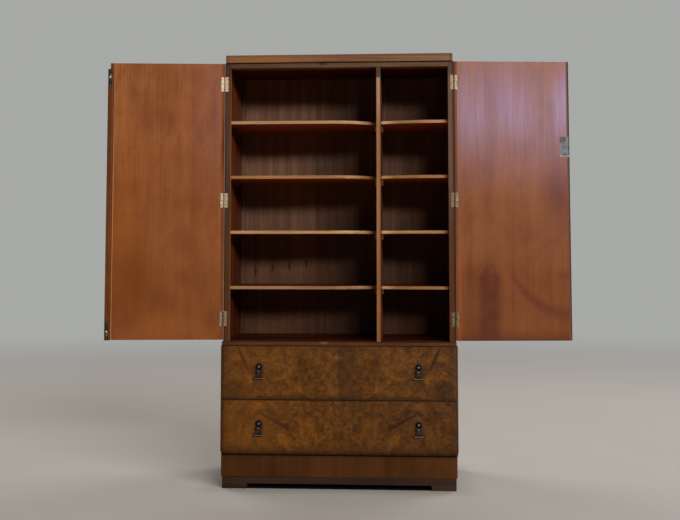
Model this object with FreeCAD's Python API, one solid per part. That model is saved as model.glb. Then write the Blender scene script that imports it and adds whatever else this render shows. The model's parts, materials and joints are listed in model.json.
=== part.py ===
import FreeCAD, Part
import math
import os

from FreeCAD import Vector

# A tallboy: a two-door cupboard with shelves over two full-width drawers, on a plinth with feet.
# Both doors stand open beside the carcass, and closing them is their motion.
# Millimetres. X runs to the right, Y to the back and Z up. While the pieces are made, X = 0 is
# the middle of the carcass, Y = 0 its front plane and Z = 0 the floor. At the end everything
# moves together, so that the origin is at the bottom centre of the whole.

# Heights, stacked up from the floor
foot_height = 19.5
base_height = 28.5
plinth_height = 78.0
lower_drawer_opening = 212.0
upper_drawer_opening = 206.0
waist_thickness = 14.0
cupboard_height = 1090.0
top_thickness = 30.0

# Width of the cupboard, and the small steps at each side from one box of the stack to the next
upper_width = 900.0
top_step = 5.0
waist_step = 3.0
plinth_step = 3.0
base_step = 4.0

# Depth of the carcass, and how far the boards of the stack stand out from its front plane
carcass_depth = 414.0
top_overhang_front = 13.0
top_overhang_back = 2.0
waist_ledge = 18.0
plinth_projection = 17.0
base_projection = 13.0

# Boards of the cupboard
side_panel = 7.0
stile_width = 16.0
stile_depth = 20.0
fillet_depth = 14.0
back_thickness = 6.0
top_rail_height = 20.0
top_rail_depth = 48.0
top_edge_radius = 5.0
waist_edge_radius = 4.0

# Divider, shelves and the bearers under them
divider_thickness = 18.0
divider_centre = 155.0
divider_setback = 4.0
divider_housing = 4.0
shelf_count = 4
shelf_thickness = 12.0
first_shelf_rise = 212.0
shelf_pitch = 216.7
shelf_stile_gap = 2.0
shelf_strip_gap = 7.0
shelf_end_gap = 0.5
left_sweep_length = 176.0
left_sweep_depth = 84.0
right_sweep_length = 196.0
right_sweep_depth = 40.0
bearer_thickness = 6.5
bearer_height = 22.0
bearer_setback = 140.0
bearer_nose = 8.0

# Lower carcass, plinth and base
lower_side_thickness = 12.0
bottom_board_thickness = 12.0
drawer_rail_height = 16.0
drawer_rail_depth = 60.0
runner_width = 25.0
plinth_board = 19.0
plinth_edge_radius = 2.0
base_board = 22.0
foot_length = 95.0
foot_depth = 80.0
foot_edge_radius = 3.0

# Drawers
drawer_front_overlap = 2.0
drawer_front_thickness = 22.0
drawer_front_gap = 0.5
drawer_split_gap = 2.0
drawer_end_radius = 18.0
upper_front_radius = 4.0
lower_front_radius = 17.0
drawer_board = 12.0
drawer_headroom = 22.0
drawer_back_gap = 23.0
drawer_side_gap = 2.0
drawer_lift = 0.5
drawer_bottom_thickness = 5.0
drawer_bottom_rise = 8.0
groove_depth = 5.0
tail_count = 4
tail_slope = 1.0 / 7.0
tail_gap = 9.0
drawer_travel = 320.0

# Doors
door_thickness = 18.0
door_bottom_gap = 5.0
door_top_gap = 1.5
meeting_gap = 3.0
lipping_width = 10.0
left_open_angle = 174.5
right_open_angle = 185.5

# Butt hinges
hinge_count = 3
hinge_length = 57.0
hinge_end_distance = 82.0
leaf_width = 17.0
leaf_thickness = 1.6
knuckle_radius = 3.0
knuckle_count = 5
knuckle_gap = 0.3
knuckle_clearance = 0.4
hinge_lift = 0.5
hinge_edge_distance = 1.0
pin_radius = 1.5
pin_fixed_clearance = 0.02
pin_running_clearance = 0.05
pin_head_radius = 2.4
pin_head_height = 1.5

# Closing strip of the left door and its flush bolts
strip_width = 20.0
strip_thickness = 16.0
strip_overhang = 7.0
strip_relief = 0.5
strip_top_drop = 25.5
strip_edge_radius = 2.0
bolt_plate_width = 14.0
bolt_plate_length = 73.0
bolt_plate_thickness = 2.0
bolt_radius = 3.0
bolt_clearance = 0.4
bolt_length = 56.0
bolt_travel = 16.0
bolt_wall = 1.5
bolt_hole_margin = 3.0
bolt_stem_radius = 1.8
bolt_stem_distance = 34.0
bolt_knob_radius = 4.0
bolt_knob_height = 4.0

# Lock of the right door
lock_width = 38.0
lock_height = 77.0
lock_depth = 12.0
lock_corner_radius = 5.0
lock_below_door_top = 334.0
lock_bolt_height = 20.0
lock_bolt_thickness = 6.0
lock_bolt_length = 24.0
lock_bolt_travel = 9.0
lock_bolt_clearance = 0.5
mortise_margin = 2.0
keyhole_radius = 3.2
keyhole_slot_width = 3.0
keyhole_slot_length = 10.0
keyhole_backset = 22.0
escutcheon_radius = 11.0
escutcheon_length = 36.0
escutcheon_thickness = 1.5

# Drop handles
plate_radius = 14.0
plate_tip_radius = 6.0
plate_length = 36.0
plate_thickness = 2.0
dome_radius = 11.0
dome_height = 8.0
handle_pin_drop = 17.0
handle_pin_out = 8.0
handle_pin_radius = 2.0
handle_pin_clearance = 0.08
lug_gap = 11.0
lug_thickness = 3.0
lug_radius = 4.0
eye_side_gap = 0.4
drop_length = 30.0
drop_width = 34.0
drop_thickness = 3.6
drop_waist = 14.0
drop_neck = 6.0
drop_stem_width = 4.4
drop_arm_width = 4.4
drop_bar_radius = 3.0
drop_tip_radius = 1.8
drop_tip_length = 2.0
post_radius = 2.5
post_length = 14.0
post_clearance = 0.1
handle_end_distance = 151.0
upper_handle_rise = 22.0
lower_handle_rise = 15.0
door_handle_height = 590.0
door_handle_backset = 42.0

# Levels and faces that several pieces share
plinth_bottom = foot_height + base_height
plinth_top = plinth_bottom + plinth_height
drawer_split = plinth_top + lower_drawer_opening
waist_bottom = drawer_split + upper_drawer_opening
cupboard_floor = waist_bottom + waist_thickness
cupboard_ceiling = cupboard_floor + cupboard_height
upper_half = upper_width / 2
top_half = upper_half - top_step
wall_x = upper_half - side_panel
stile_x = wall_x - stile_width
lower_half = wall_x + lower_side_thickness
waist_half = lower_half - waist_step
plinth_half = lower_half - plinth_step
base_half = plinth_half - base_step
drawer_front_half = lower_half + drawer_front_overlap
handle_x = drawer_front_half - handle_end_distance
back_face = carcass_depth - back_thickness
fillet_front = back_face - fillet_depth
divider_left = divider_centre - divider_thickness / 2
divider_right = divider_centre + divider_thickness / 2
door_bottom = cupboard_floor + door_bottom_gap
door_top = cupboard_ceiling - door_top_gap
door_width = upper_half - meeting_gap / 2
hinge_x = upper_half + hinge_edge_distance
hinge_y = -hinge_lift
door_hinge_edge = hinge_x + hinge_edge_distance
knuckle_room = knuckle_radius + knuckle_clearance
door_free_edge = door_hinge_edge + door_width
strip_reach = strip_thickness - 2 * hinge_lift
shelf_front = max(stile_depth + shelf_stile_gap, strip_reach + shelf_strip_gap)
shelf_tops = [cupboard_floor + first_shelf_rise + shelf_pitch * i for i in range(shelf_count)]
front_face = -(drawer_front_gap + drawer_front_thickness)


def box(x0, x1, y0, y1, z0, z1):
    """A block between two corners, given in any order."""
    low = Vector(min(x0, x1), min(y0, y1), min(z0, z1))
    return Part.makeBox(abs(x1 - x0), abs(y1 - y0), abs(z1 - z0), low)


def rod(radius, length, x, y, z, direction):
    """A round bar that starts at a point and runs along a direction."""
    return Part.makeCylinder(radius, length, Vector(x, y, z), direction)


def rounded(shape, radius, chosen):
    """The shape with every edge rounded that the test chooses by its middle point."""
    edges = [edge for edge in shape.Edges if chosen(edge.BoundBox)]
    return shape.makeFillet(radius, edges)


def group(shapes):
    """Separate solids that share one node."""
    return Part.makeCompound(shapes)


def near(value, target):
    return abs(value - target) < 1e-6


def runs_up(bounds):
    return bounds.ZLength > max(bounds.XLength, bounds.YLength)


# The cupboard

def top_board():
    top = cupboard_ceiling + top_thickness
    back = carcass_depth + top_overhang_back
    board = box(-top_half, top_half, -top_overhang_front, back, cupboard_ceiling, top)
    return rounded(board, top_edge_radius, lambda b: near(b.ZMin, top) and b.YMin < carcass_depth)


def hinge_heights():
    first = door_bottom + hinge_end_distance
    last = door_top - hinge_end_distance
    step = (last - first) / (hinge_count - 1)
    return [first + step * i for i in range(hinge_count)]


def hinge_housings(side, edge, far):
    """For each hinge of one side: the leaf's shallow recess in a board and a hollow round the knuckles."""
    half = hinge_length / 2
    hollow_length = hinge_length + pin_head_height + 2 * knuckle_clearance
    housings = []
    for z in hinge_heights():
        housings.append(box(side * edge, side * far, 0, leaf_thickness, z - half, z + half))
        foot = z - half - knuckle_clearance
        housings.append(rod(knuckle_room, hollow_length, side * hinge_x, hinge_y, foot, Vector(0, 0, 1)))
    return housings


def leaf_recesses(side):
    return hinge_housings(side, upper_half, upper_half - leaf_width)


def upper_side(side):
    panel = box(side * wall_x, side * upper_half, 0, carcass_depth, cupboard_floor, cupboard_ceiling)
    return panel.cut(leaf_recesses(side))


def front_stiles():
    stiles = []
    for side in (-1, 1):
        stile = box(side * stile_x, side * wall_x, 0, stile_depth, cupboard_floor, cupboard_ceiling)
        stiles.append(stile.cut(leaf_recesses(side)))
    return group(stiles)


def rear_fillets():
    low = cupboard_floor
    high = cupboard_ceiling
    return group([box(side * stile_x, side * wall_x, fillet_front, back_face, low, high) for side in (-1, 1)])


def closed_point(x, y):
    """Where a point of the left door, at flat open, comes to when that door is shut."""
    return -2 * hinge_x - x, 2 * hinge_y - y


def bolt_centre():
    """The flush bolts' axis in plan, on the left door at flat open."""
    x = -(door_free_edge + strip_overhang - strip_width / 2)
    y = -strip_thickness + bolt_plate_thickness + bolt_wall + bolt_radius
    return x, y


def top_rail():
    rail = box(-stile_x, stile_x, 0, top_rail_depth, cupboard_ceiling - top_rail_height, cupboard_ceiling)
    x, y = closed_point(*bolt_centre())
    underside = cupboard_ceiling - top_rail_height
    depth = strip_levels()[1] + bolt_travel + bolt_hole_margin - underside
    socket = rod(bolt_radius + bolt_clearance, depth, x, y, underside, Vector(0, 0, 1))
    return rail.cut(socket)


def waist_board():
    board = box(-waist_half, waist_half, -waist_ledge, back_face, waist_bottom, cupboard_floor)
    board = rounded(board, waist_edge_radius,
                    lambda b: near(b.ZMin, cupboard_floor) and b.YMax < 0)
    x, y = closed_point(*bolt_centre())
    socket = rod(bolt_radius + bolt_clearance, waist_thickness, x, y, waist_bottom, Vector(0, 0, 1))
    housing = box(divider_left, divider_right, divider_setback, back_face,
                  cupboard_floor - divider_housing, cupboard_floor)
    return board.cut([socket, housing])


def divider():
    board = box(divider_left, divider_right, divider_setback, back_face,
                cupboard_floor - divider_housing, cupboard_ceiling)
    notch = box(divider_left, divider_right, 0, top_rail_depth, cupboard_ceiling - top_rail_height,
                cupboard_ceiling)
    return board.cut(notch)


def shelf(wall, divider_face, sweep_length, sweep_depth, top):
    """A shelf from a side wall to the divider, whose front bends back in an arc near the divider."""
    inward = 1 if divider_face > wall else -1
    wall_end = wall + inward * shelf_end_gap
    divider_end = divider_face - inward * shelf_end_gap
    bend = divider_end - inward * sweep_length
    radius = (sweep_length ** 2 + sweep_depth ** 2) / (2 * sweep_depth)
    half_turn = math.asin(sweep_length / radius) / 2
    bottom = top - shelf_thickness
    rear = back_face - shelf_end_gap
    mid_x = bend + inward * radius * math.sin(half_turn)
    mid_y = shelf_front + radius * (1 - math.cos(half_turn))
    corners = [Vector(divider_end, shelf_front + sweep_depth, bottom), Vector(divider_end, rear, bottom),
               Vector(wall_end, rear, bottom), Vector(wall_end, shelf_front, bottom),
               Vector(bend, shelf_front, bottom)]
    edges = [Part.LineSegment(a, b).toShape() for a, b in zip(corners, corners[1:])]
    edges.append(Part.Arc(corners[-1], Vector(mid_x, mid_y, bottom), corners[0]).toShape())
    board = Part.Face(Part.Wire(edges)).extrude(Vector(0, 0, shelf_thickness))
    notch_end = wall + inward * (stile_width + shelf_end_gap)
    notch = box(wall, notch_end, fillet_front - shelf_end_gap, back_face, bottom, top)
    return board.cut(notch)


def bearer(face, inward, front, rear, top):
    """A batten under one end of a shelf, with the lower corner of its front end rounded."""
    strip = box(face, face + inward * bearer_thickness, front, rear, top - bearer_height, top)
    low = top - bearer_height
    return rounded(strip, bearer_nose, lambda b: near(b.YMax, front) and near(b.ZMax, low))


def wall_bearers():
    return group([bearer(side * wall_x, -side, bearer_setback, fillet_front, top - shelf_thickness)
                  for side in (-1, 1) for top in shelf_tops])


def divider_bearers():
    faces = ((divider_left, -1), (divider_right, 1))
    return group([bearer(face, inward, bearer_setback, back_face, top - shelf_thickness)
                  for face, inward in faces for top in shelf_tops])


def back_panel():
    return box(-wall_x, wall_x, back_face, carcass_depth, plinth_top, cupboard_ceiling)


# The lower carcass, the plinth and the base

def lower_side(side):
    return box(side * wall_x, side * lower_half, 0, carcass_depth, plinth_top, waist_bottom)


def bottom_board():
    return box(-wall_x, wall_x, 0, back_face, plinth_top, plinth_top + bottom_board_thickness)


def drawer_rail():
    half = drawer_rail_height / 2
    return box(-wall_x, wall_x, 0, drawer_rail_depth, drawer_split - half, drawer_split + half)


def drawer_runners():
    half = drawer_rail_height / 2
    inner = wall_x - runner_width
    return group([box(side * inner, side * wall_x, drawer_rail_depth, back_face, drawer_split - half,
                      drawer_split + half) for side in (-1, 1)])


def four_boards(half, front, thickness, low, high):
    """Front, back and two side boards of a rectangular frame, butted at the corners."""
    front_inner = front + thickness
    back_inner = carcass_depth - thickness
    front_board = box(-half, half, front, front_inner, low, high)
    back_board = box(-half, half, back_inner, carcass_depth, low, high)
    inner = half - thickness
    sides = [box(side * half, side * inner, front_inner, back_inner, low, high) for side in (-1, 1)]
    return [front_board, back_board] + sides


def plinth_boards():
    boards = four_boards(plinth_half, -plinth_projection, plinth_board, plinth_bottom, plinth_top)
    boards[0] = rounded(boards[0], plinth_edge_radius,
                        lambda b: near(b.YMax, -plinth_projection) and b.XLength < 1 and runs_up(b))
    return group(boards)


def base_frame():
    return group(four_boards(base_half, -base_projection, base_board, foot_height, plinth_bottom))


def feet():
    blocks = []
    for side in (-1, 1):
        for outer, step in ((-base_projection, foot_depth), (carcass_depth, -foot_depth)):
            inner = base_half - foot_length
            block = box(side * base_half, side * inner, outer, outer + step, 0, foot_height)
            blocks.append(rounded(block, foot_edge_radius, runs_up))
    return group(blocks)


# Drawers

def drawer_front(low, high, top_radius, bottom_radius, handle_z):
    """A thick veneered front with rounded ends, and its front edges rounded above or below."""
    back = -drawer_front_gap
    ahead = (front_face + back) / 2
    front = box(-drawer_front_half, drawer_front_half, front_face, back, low, high)
    front = rounded(front, drawer_end_radius, lambda b: runs_up(b) and near(b.YMax, front_face))
    if top_radius:
        front = rounded(front, top_radius, lambda b: near(b.ZMin, high) and b.YMin < ahead)
    if bottom_radius:
        front = rounded(front, bottom_radius, lambda b: near(b.ZMax, low) and b.YMin < ahead)
    hole_radius = post_radius + post_clearance
    holes = [rod(hole_radius, post_length, side * handle_x, front_face, handle_z, Vector(0, 1, 0))
             for side in (-1, 1)]
    return front.cut(holes)


def box_tails(shoulder, end, low, high):
    """The dovetails at one end of a drawer side, as prisms right across the drawer."""
    pitch = (high - low) / tail_count
    flare = abs(end - shoulder) * tail_slope
    half = wall_x - drawer_side_gap
    tails = []
    for i in range(tail_count):
        middle = low + pitch * (i + 0.5)
        narrow = pitch / 2 - tail_gap / 2 - flare
        wide = narrow + flare
        corners = [Vector(-half, shoulder, middle - narrow), Vector(-half, shoulder, middle + narrow),
                   Vector(-half, end, middle + wide), Vector(-half, end, middle - wide)]
        face = Part.Face(Part.makePolygon(corners + corners[:1]))
        tails.append(face.extrude(Vector(2 * half, 0, 0)))
    return tails


def drawer_box(low, high):
    """Sides with dovetail tails, ends with the matching pins, and the bottom in its groove."""
    half = wall_x - drawer_side_gap
    inner = half - drawer_board
    front = -drawer_front_gap
    back = back_face - drawer_back_gap
    front_shoulder = front + drawer_board
    back_shoulder = back - drawer_board
    bottom_low = low + drawer_bottom_rise
    bottom_high = bottom_low + drawer_bottom_thickness
    reach = inner + groove_depth
    bottom = box(-reach, reach, front_shoulder - groove_depth, back, bottom_low, bottom_high)
    tails = box_tails(front_shoulder, front, low, high) + box_tails(back_shoulder, back, low, high)
    sides = []
    for side in (-1, 1):
        board = box(side * inner, side * half, front, back, low, high)
        corners = [box(side * inner, side * half, front, front_shoulder, low, high),
                   box(side * inner, side * half, back_shoulder, back, low, high)]
        plain = board.cut(corners)
        kept = [tail.common(corner) for corner in corners for tail in tails]
        side_board = plain.fuse([piece for piece in kept if piece.Volume > 0]).removeSplitter()
        sides.append(side_board.cut(bottom))
    ends = [box(-half, half, front, front_shoulder, low, high),
            box(-half, half, back_shoulder, back, bottom_high, high)]
    ends = [end.cut(sides + [bottom]) for end in ends]
    return group(sides), group(ends), bottom


# Drop handles, made at the origin with the surface that they sit on at Y = 0

def handle_plate():
    """A shield-shaped plate with a domed boss, two lugs with a pin, and a post into the wood."""
    tip_z = plate_tip_radius - plate_length
    left_top = Vector(-plate_radius, 0, 0)
    right_top = Vector(plate_radius, 0, 0)
    left_low = Vector(-plate_tip_radius, 0, tip_z)
    right_low = Vector(plate_tip_radius, 0, tip_z)
    outline = [Part.Arc(left_top, Vector(0, 0, plate_radius), right_top).toShape(),
               Part.LineSegment(right_top, right_low).toShape(),
               Part.Arc(right_low, Vector(0, 0, tip_z - plate_tip_radius), left_low).toShape(),
               Part.LineSegment(left_low, left_top).toShape()]
    plate = Part.Face(Part.Wire(outline)).extrude(Vector(0, -plate_thickness, 0))
    sphere_radius = (dome_radius ** 2 + dome_height ** 2) / (2 * dome_height)
    sphere_y = -plate_thickness - dome_height + sphere_radius
    reach = dome_radius + plate_radius
    outer_half = box(-reach, reach, -plate_thickness, -plate_thickness - reach, -reach, reach)
    dome = Part.makeSphere(sphere_radius, Vector(0, sphere_y, 0), Vector(0, -1, 0)).common(outer_half)
    pieces = [dome]
    pin_half = lug_gap / 2 + lug_thickness
    pin_y = -handle_pin_out
    pin_z = -handle_pin_drop
    for side in (-1, 1):
        inner = side * lug_gap / 2
        outer = side * pin_half
        pieces.append(box(inner, outer, 0, pin_y, pin_z - lug_radius, pin_z + lug_radius))
        pieces.append(rod(lug_radius, lug_thickness, min(inner, outer), pin_y, pin_z, Vector(1, 0, 0)))
    pieces.append(rod(handle_pin_radius, 2 * pin_half, -pin_half, pin_y, pin_z, Vector(1, 0, 0)))
    pieces.append(rod(post_radius, post_length, 0, 0, 0, Vector(0, 1, 0)))
    return plate.fuse(pieces).removeSplitter()


def handle_drop():
    """A pierced stirrup that hangs from the pin and ends in a round bar."""
    pin_y = -handle_pin_out
    pin_z = -handle_pin_drop
    eye_half = lug_gap / 2 - eye_side_gap
    bar_z = pin_z - drop_length + drop_bar_radius
    half = drop_width / 2
    waist_z = pin_z - drop_waist
    top_z = pin_z - drop_neck
    hip = (eye_half + half) / 2 - drop_arm_width / 2
    back = pin_y + drop_thickness / 2
    neck = Vector(eye_half, back, top_z)
    hem = Vector(half, back, bar_z)
    outline = [Part.LineSegment(Vector(-eye_half, back, pin_z), Vector(eye_half, back, pin_z)).toShape(),
               Part.LineSegment(Vector(eye_half, back, pin_z), neck).toShape(),
               Part.Arc(neck, Vector(hip, back, waist_z), hem).toShape(),
               Part.LineSegment(hem, Vector(-half, back, bar_z)).toShape(),
               Part.Arc(Vector(-half, back, bar_z), Vector(-hip, back, waist_z),
                        Vector(-eye_half, back, top_z)).toShape(),
               Part.LineSegment(Vector(-eye_half, back, top_z), Vector(-eye_half, back, pin_z)).toShape()]
    through = Vector(0, -drop_thickness, 0)
    body = Part.Face(Part.Wire(outline)).extrude(through)
    holes = []
    for side in (-1, 1):
        stem = side * drop_stem_width / 2
        high = Vector(stem, back, top_z - drop_arm_width)
        low = Vector(stem, back, bar_z)
        far = Vector(side * (half - drop_arm_width), back, bar_z)
        bulge = Vector(side * (hip - drop_arm_width), back, waist_z)
        edges = [Part.LineSegment(high, low).toShape(), Part.LineSegment(low, far).toShape(),
                 Part.Arc(far, bulge, high).toShape()]
        holes.append(Part.Face(Part.Wire(edges)).extrude(through))
    bar = rod(drop_bar_radius, drop_width, -half, pin_y, bar_z, Vector(1, 0, 0))
    tips = [Part.makeCone(drop_bar_radius, drop_tip_radius, drop_tip_length,
                          Vector(side * half, pin_y, bar_z), Vector(side, 0, 0)) for side in (-1, 1)]
    eye = rod(lug_radius, 2 * eye_half, -eye_half, pin_y, pin_z, Vector(1, 0, 0))
    bore_radius = handle_pin_radius + handle_pin_clearance
    bore = rod(bore_radius, 2 * eye_half, -eye_half, pin_y, pin_z, Vector(1, 0, 0))
    return body.cut(holes).fuse([bar, eye] + tips).cut(bore).removeSplitter()


def placed(shape, turn, x, y, z):
    """A copy of the shape, turned about Z and then moved."""
    copy = shape.copy()
    copy.rotate(Vector(0, 0, 0), Vector(0, 0, 1), turn)
    copy.translate(Vector(x, y, z))
    return copy


def door_handle_place(side):
    """On the outer face of a door at flat open, near its meeting edge."""
    return side * (door_free_edge - door_handle_backset), door_thickness, door_bottom + door_handle_height


# Hinges, for a door at flat open

def leaf(side, edge, far, knuckles, bore):
    """The leaves of one side: plates with the given knuckles rolled round the pin's line."""
    step = hinge_length / knuckle_count
    trim = knuckle_gap / 2
    leaves = []
    for middle in hinge_heights():
        low = middle - hinge_length / 2
        plate = box(side * edge, side * far, 0, leaf_thickness, low, low + hinge_length)
        pieces = []
        for i in knuckles:
            z = low + step * i + trim
            length = step - 2 * trim
            pieces.append(rod(knuckle_radius, length, side * hinge_x, hinge_y, z, Vector(0, 0, 1)))
            pieces.append(box(side * edge, side * hinge_x, 0, leaf_thickness, z, z + length))
        hole = rod(bore, hinge_length, side * hinge_x, hinge_y, low, Vector(0, 0, 1))
        leaves.append(plate.fuse(pieces).cut(hole).removeSplitter())
    return leaves


def carcass_hinge_leaves():
    fixed = range(0, knuckle_count, 2)
    bore = pin_radius + pin_fixed_clearance
    edge = hinge_x - knuckle_room
    far = upper_half - leaf_width
    return group(leaf(-1, edge, far, fixed, bore) + leaf(1, edge, far, fixed, bore))


def door_hinge_leaves(side):
    moving = range(1, knuckle_count, 2)
    bore = pin_radius + pin_running_clearance
    edge = hinge_x + knuckle_room
    return group(leaf(side, edge, door_hinge_edge + leaf_width, moving, bore))


def hinge_pins():
    pins = []
    for side in (-1, 1):
        for middle in hinge_heights():
            low = middle - hinge_length / 2
            high = middle + hinge_length / 2
            pin = rod(pin_radius, hinge_length, side * hinge_x, hinge_y, low, Vector(0, 0, 1))
            head = rod(pin_head_radius, pin_head_height, side * hinge_x, hinge_y, high, Vector(0, 0, 1))
            pins.append(pin.fuse(head).removeSplitter())
    return group(pins)


# Doors at flat open: inner faces at Y = 0, outer faces behind them

def door_leaf_recesses(side):
    return hinge_housings(side, door_hinge_edge, door_hinge_edge + leaf_width)


def lock_middle():
    return door_top - lock_below_door_top


def lock_body():
    """The space of the lock, let into the inner face at the meeting edge, with its inner corners rounded."""
    inner = door_free_edge - lock_width
    half = lock_height / 2
    case = box(inner, door_free_edge, 0, lock_depth, lock_middle() - half, lock_middle() + half)
    return rounded(case, lock_corner_radius, lambda b: b.YLength > b.ZLength and near(b.XMax, inner))


def keyhole(y0, y1):
    """A round hole with a slot below it, through a board at the lock."""
    x = door_free_edge - keyhole_backset
    half = keyhole_slot_width / 2
    hole = rod(keyhole_radius, y1 - y0, x, y0, lock_middle(), Vector(0, 1, 0))
    slot = box(x - half, x + half, y0, y1, lock_middle() - keyhole_slot_length, lock_middle())
    return hole.fuse(slot)


def lock_bolt_slot(clearance, reach):
    """The space of the lock's bolt, from inside the case to a reach past the meeting edge."""
    half_z = lock_bolt_height / 2 + clearance
    half_y = lock_bolt_thickness / 2 + clearance
    middle_y = lock_depth / 2
    start = door_free_edge - lock_bolt_length - clearance
    return box(start, door_free_edge + reach, middle_y - half_y, middle_y + half_y,
               lock_middle() - half_z, lock_middle() + half_z)


def lock_case():
    return lock_body().cut([lock_bolt_slot(lock_bolt_clearance, 0), keyhole(lock_depth / 2, lock_depth)])


def lock_mortise():
    """The pocket in the left door's meeting edge that takes the lock's bolt."""
    depth = lock_bolt_travel - meeting_gap + mortise_margin
    half_z = lock_bolt_height / 2 + mortise_margin
    half_y = lock_bolt_thickness / 2 + mortise_margin
    middle_y = lock_depth / 2
    return box(-door_free_edge, -(door_free_edge - depth), middle_y - half_y, middle_y + half_y,
               lock_middle() - half_z, lock_middle() + half_z)


def door_cuts(side):
    x, y, z = door_handle_place(side)
    cuts = door_leaf_recesses(side)
    cuts.append(rod(post_radius + post_clearance, post_length, x, y, z, Vector(0, -1, 0)))
    if side < 0:
        cuts.append(lock_mortise())
    else:
        cuts.append(lock_body())
        cuts.append(keyhole(0, door_thickness))
    return cuts


def door_panel(side):
    near_x = side * (door_hinge_edge + lipping_width)
    far_x = side * (door_free_edge - lipping_width)
    return box(near_x, far_x, 0, door_thickness, door_bottom, door_top).cut(door_cuts(side))


def door_lippings(side):
    starts = (door_hinge_edge, door_free_edge - lipping_width)
    strips = [box(side * start, side * (start + lipping_width), 0, door_thickness, door_bottom, door_top)
              for start in starts]
    return group([strip.cut(door_cuts(side)) for strip in strips])


def strip_levels():
    return door_bottom, door_top - strip_top_drop


def bolt_places():
    """For the top and the bottom bolt: the strip's end there, and the way that the bolt shoots."""
    low, high = strip_levels()
    return ((high, 1), (low, -1))


def bolt_plate_space(end, way):
    x, _ = bolt_centre()
    half = bolt_plate_width / 2
    return box(x - half, x + half, -strip_thickness, -strip_thickness + bolt_plate_thickness, end,
               end - way * bolt_plate_length)


def bolt_slot(end, way, clearance, y0, y1):
    """The slot that the bolt's stem slides along."""
    x, _ = bolt_centre()
    half = bolt_stem_radius + clearance
    rest = end - way * bolt_stem_distance
    return box(x - half, x + half, y0, y1, rest - way * half, rest + way * (bolt_travel + half))


def closing_strip():
    low, high = strip_levels()
    outer = -(door_free_edge + strip_overhang)
    strip = box(outer, outer + strip_width, -strip_thickness, 0, low, high)
    strip = rounded(strip, strip_edge_radius, lambda b: runs_up(b) and near(b.YMax, -strip_thickness))
    cuts = [box(outer, -door_free_edge, -strip_relief, 0, low, high)]
    x, y = bolt_centre()
    for end, way in bolt_places():
        cuts.append(bolt_plate_space(end, way))
        depth = bolt_length + bolt_clearance
        cuts.append(rod(bolt_radius + bolt_clearance, depth, x, y, end, Vector(0, 0, -way)))
        cuts.append(bolt_slot(end, way, bolt_clearance, -strip_thickness, y))
    return strip.cut(cuts)


def bolt_plates():
    face = -strip_thickness
    inner = face + bolt_plate_thickness
    return group([bolt_plate_space(end, way).cut(bolt_slot(end, way, bolt_clearance, face, inner))
                  for end, way in bolt_places()])


def bolt(end, way):
    """A round bolt with a stem through the plate's slot and a turned knob."""
    x, y = bolt_centre()
    shaft = rod(bolt_radius, bolt_length, x, y, end, Vector(0, 0, -way))
    stem_z = end - way * bolt_stem_distance
    knob_y = -strip_thickness - bolt_clearance
    stem = rod(bolt_stem_radius, y - knob_y, x, knob_y, stem_z, Vector(0, 1, 0))
    knob = Part.makeCone(bolt_stem_radius, bolt_knob_radius, bolt_knob_height, Vector(x, knob_y, stem_z),
                         Vector(0, -1, 0))
    return shaft.fuse([stem, knob]).removeSplitter()


def escutcheon():
    """A long round-ended plate round the keyhole, on the outer face."""
    x = door_free_edge - keyhole_backset
    straight = escutcheon_length / 2 - escutcheon_radius
    z0 = lock_middle() - straight
    z1 = lock_middle() + straight
    face = door_thickness
    outer = face + escutcheon_thickness
    plate = box(x - escutcheon_radius, x + escutcheon_radius, face, outer, z0, z1)
    ends = [rod(escutcheon_radius, escutcheon_thickness, x, face, z, Vector(0, 1, 0)) for z in (z0, z1)]
    return plate.fuse(ends).removeSplitter().cut(keyhole(face, outer))


def swung(shape, side):
    """A door piece turned from flat open to where its door stands."""
    turn = 180 - left_open_angle if side < 0 else right_open_angle - 180
    copy = shape.copy()
    copy.rotate(Vector(side * hinge_x, hinge_y, 0), Vector(0, 0, 1), turn)
    return copy


# Assembly: every node by name

parts = {
    "top_board": top_board(),
    "upper_left_side": upper_side(-1),
    "upper_right_side": upper_side(1),
    "front_stiles": front_stiles(),
    "rear_fillets": rear_fillets(),
    "top_rail": top_rail(),
    "waist_board": waist_board(),
    "divider": divider(),
    "wall_bearers": wall_bearers(),
    "divider_bearers": divider_bearers(),
    "back_panel": back_panel(),
    "lower_left_side": lower_side(-1),
    "lower_right_side": lower_side(1),
    "drawer_rail": drawer_rail(),
    "drawer_runners": drawer_runners(),
    "bottom_board": bottom_board(),
    "plinth_boards": plinth_boards(),
    "base_frame": base_frame(),
    "feet": feet(),
    "carcass_hinge_leaves": carcass_hinge_leaves(),
    "hinge_pins": hinge_pins(),
}
for number, level in enumerate(shelf_tops, start=1):
    left_sweep = (left_sweep_length, left_sweep_depth)
    right_sweep = (right_sweep_length, right_sweep_depth)
    parts[f"left_shelf_{number}"] = shelf(-wall_x, divider_left, *left_sweep, level)
    parts[f"right_shelf_{number}"] = shelf(wall_x, divider_right, *right_sweep, level)

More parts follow.
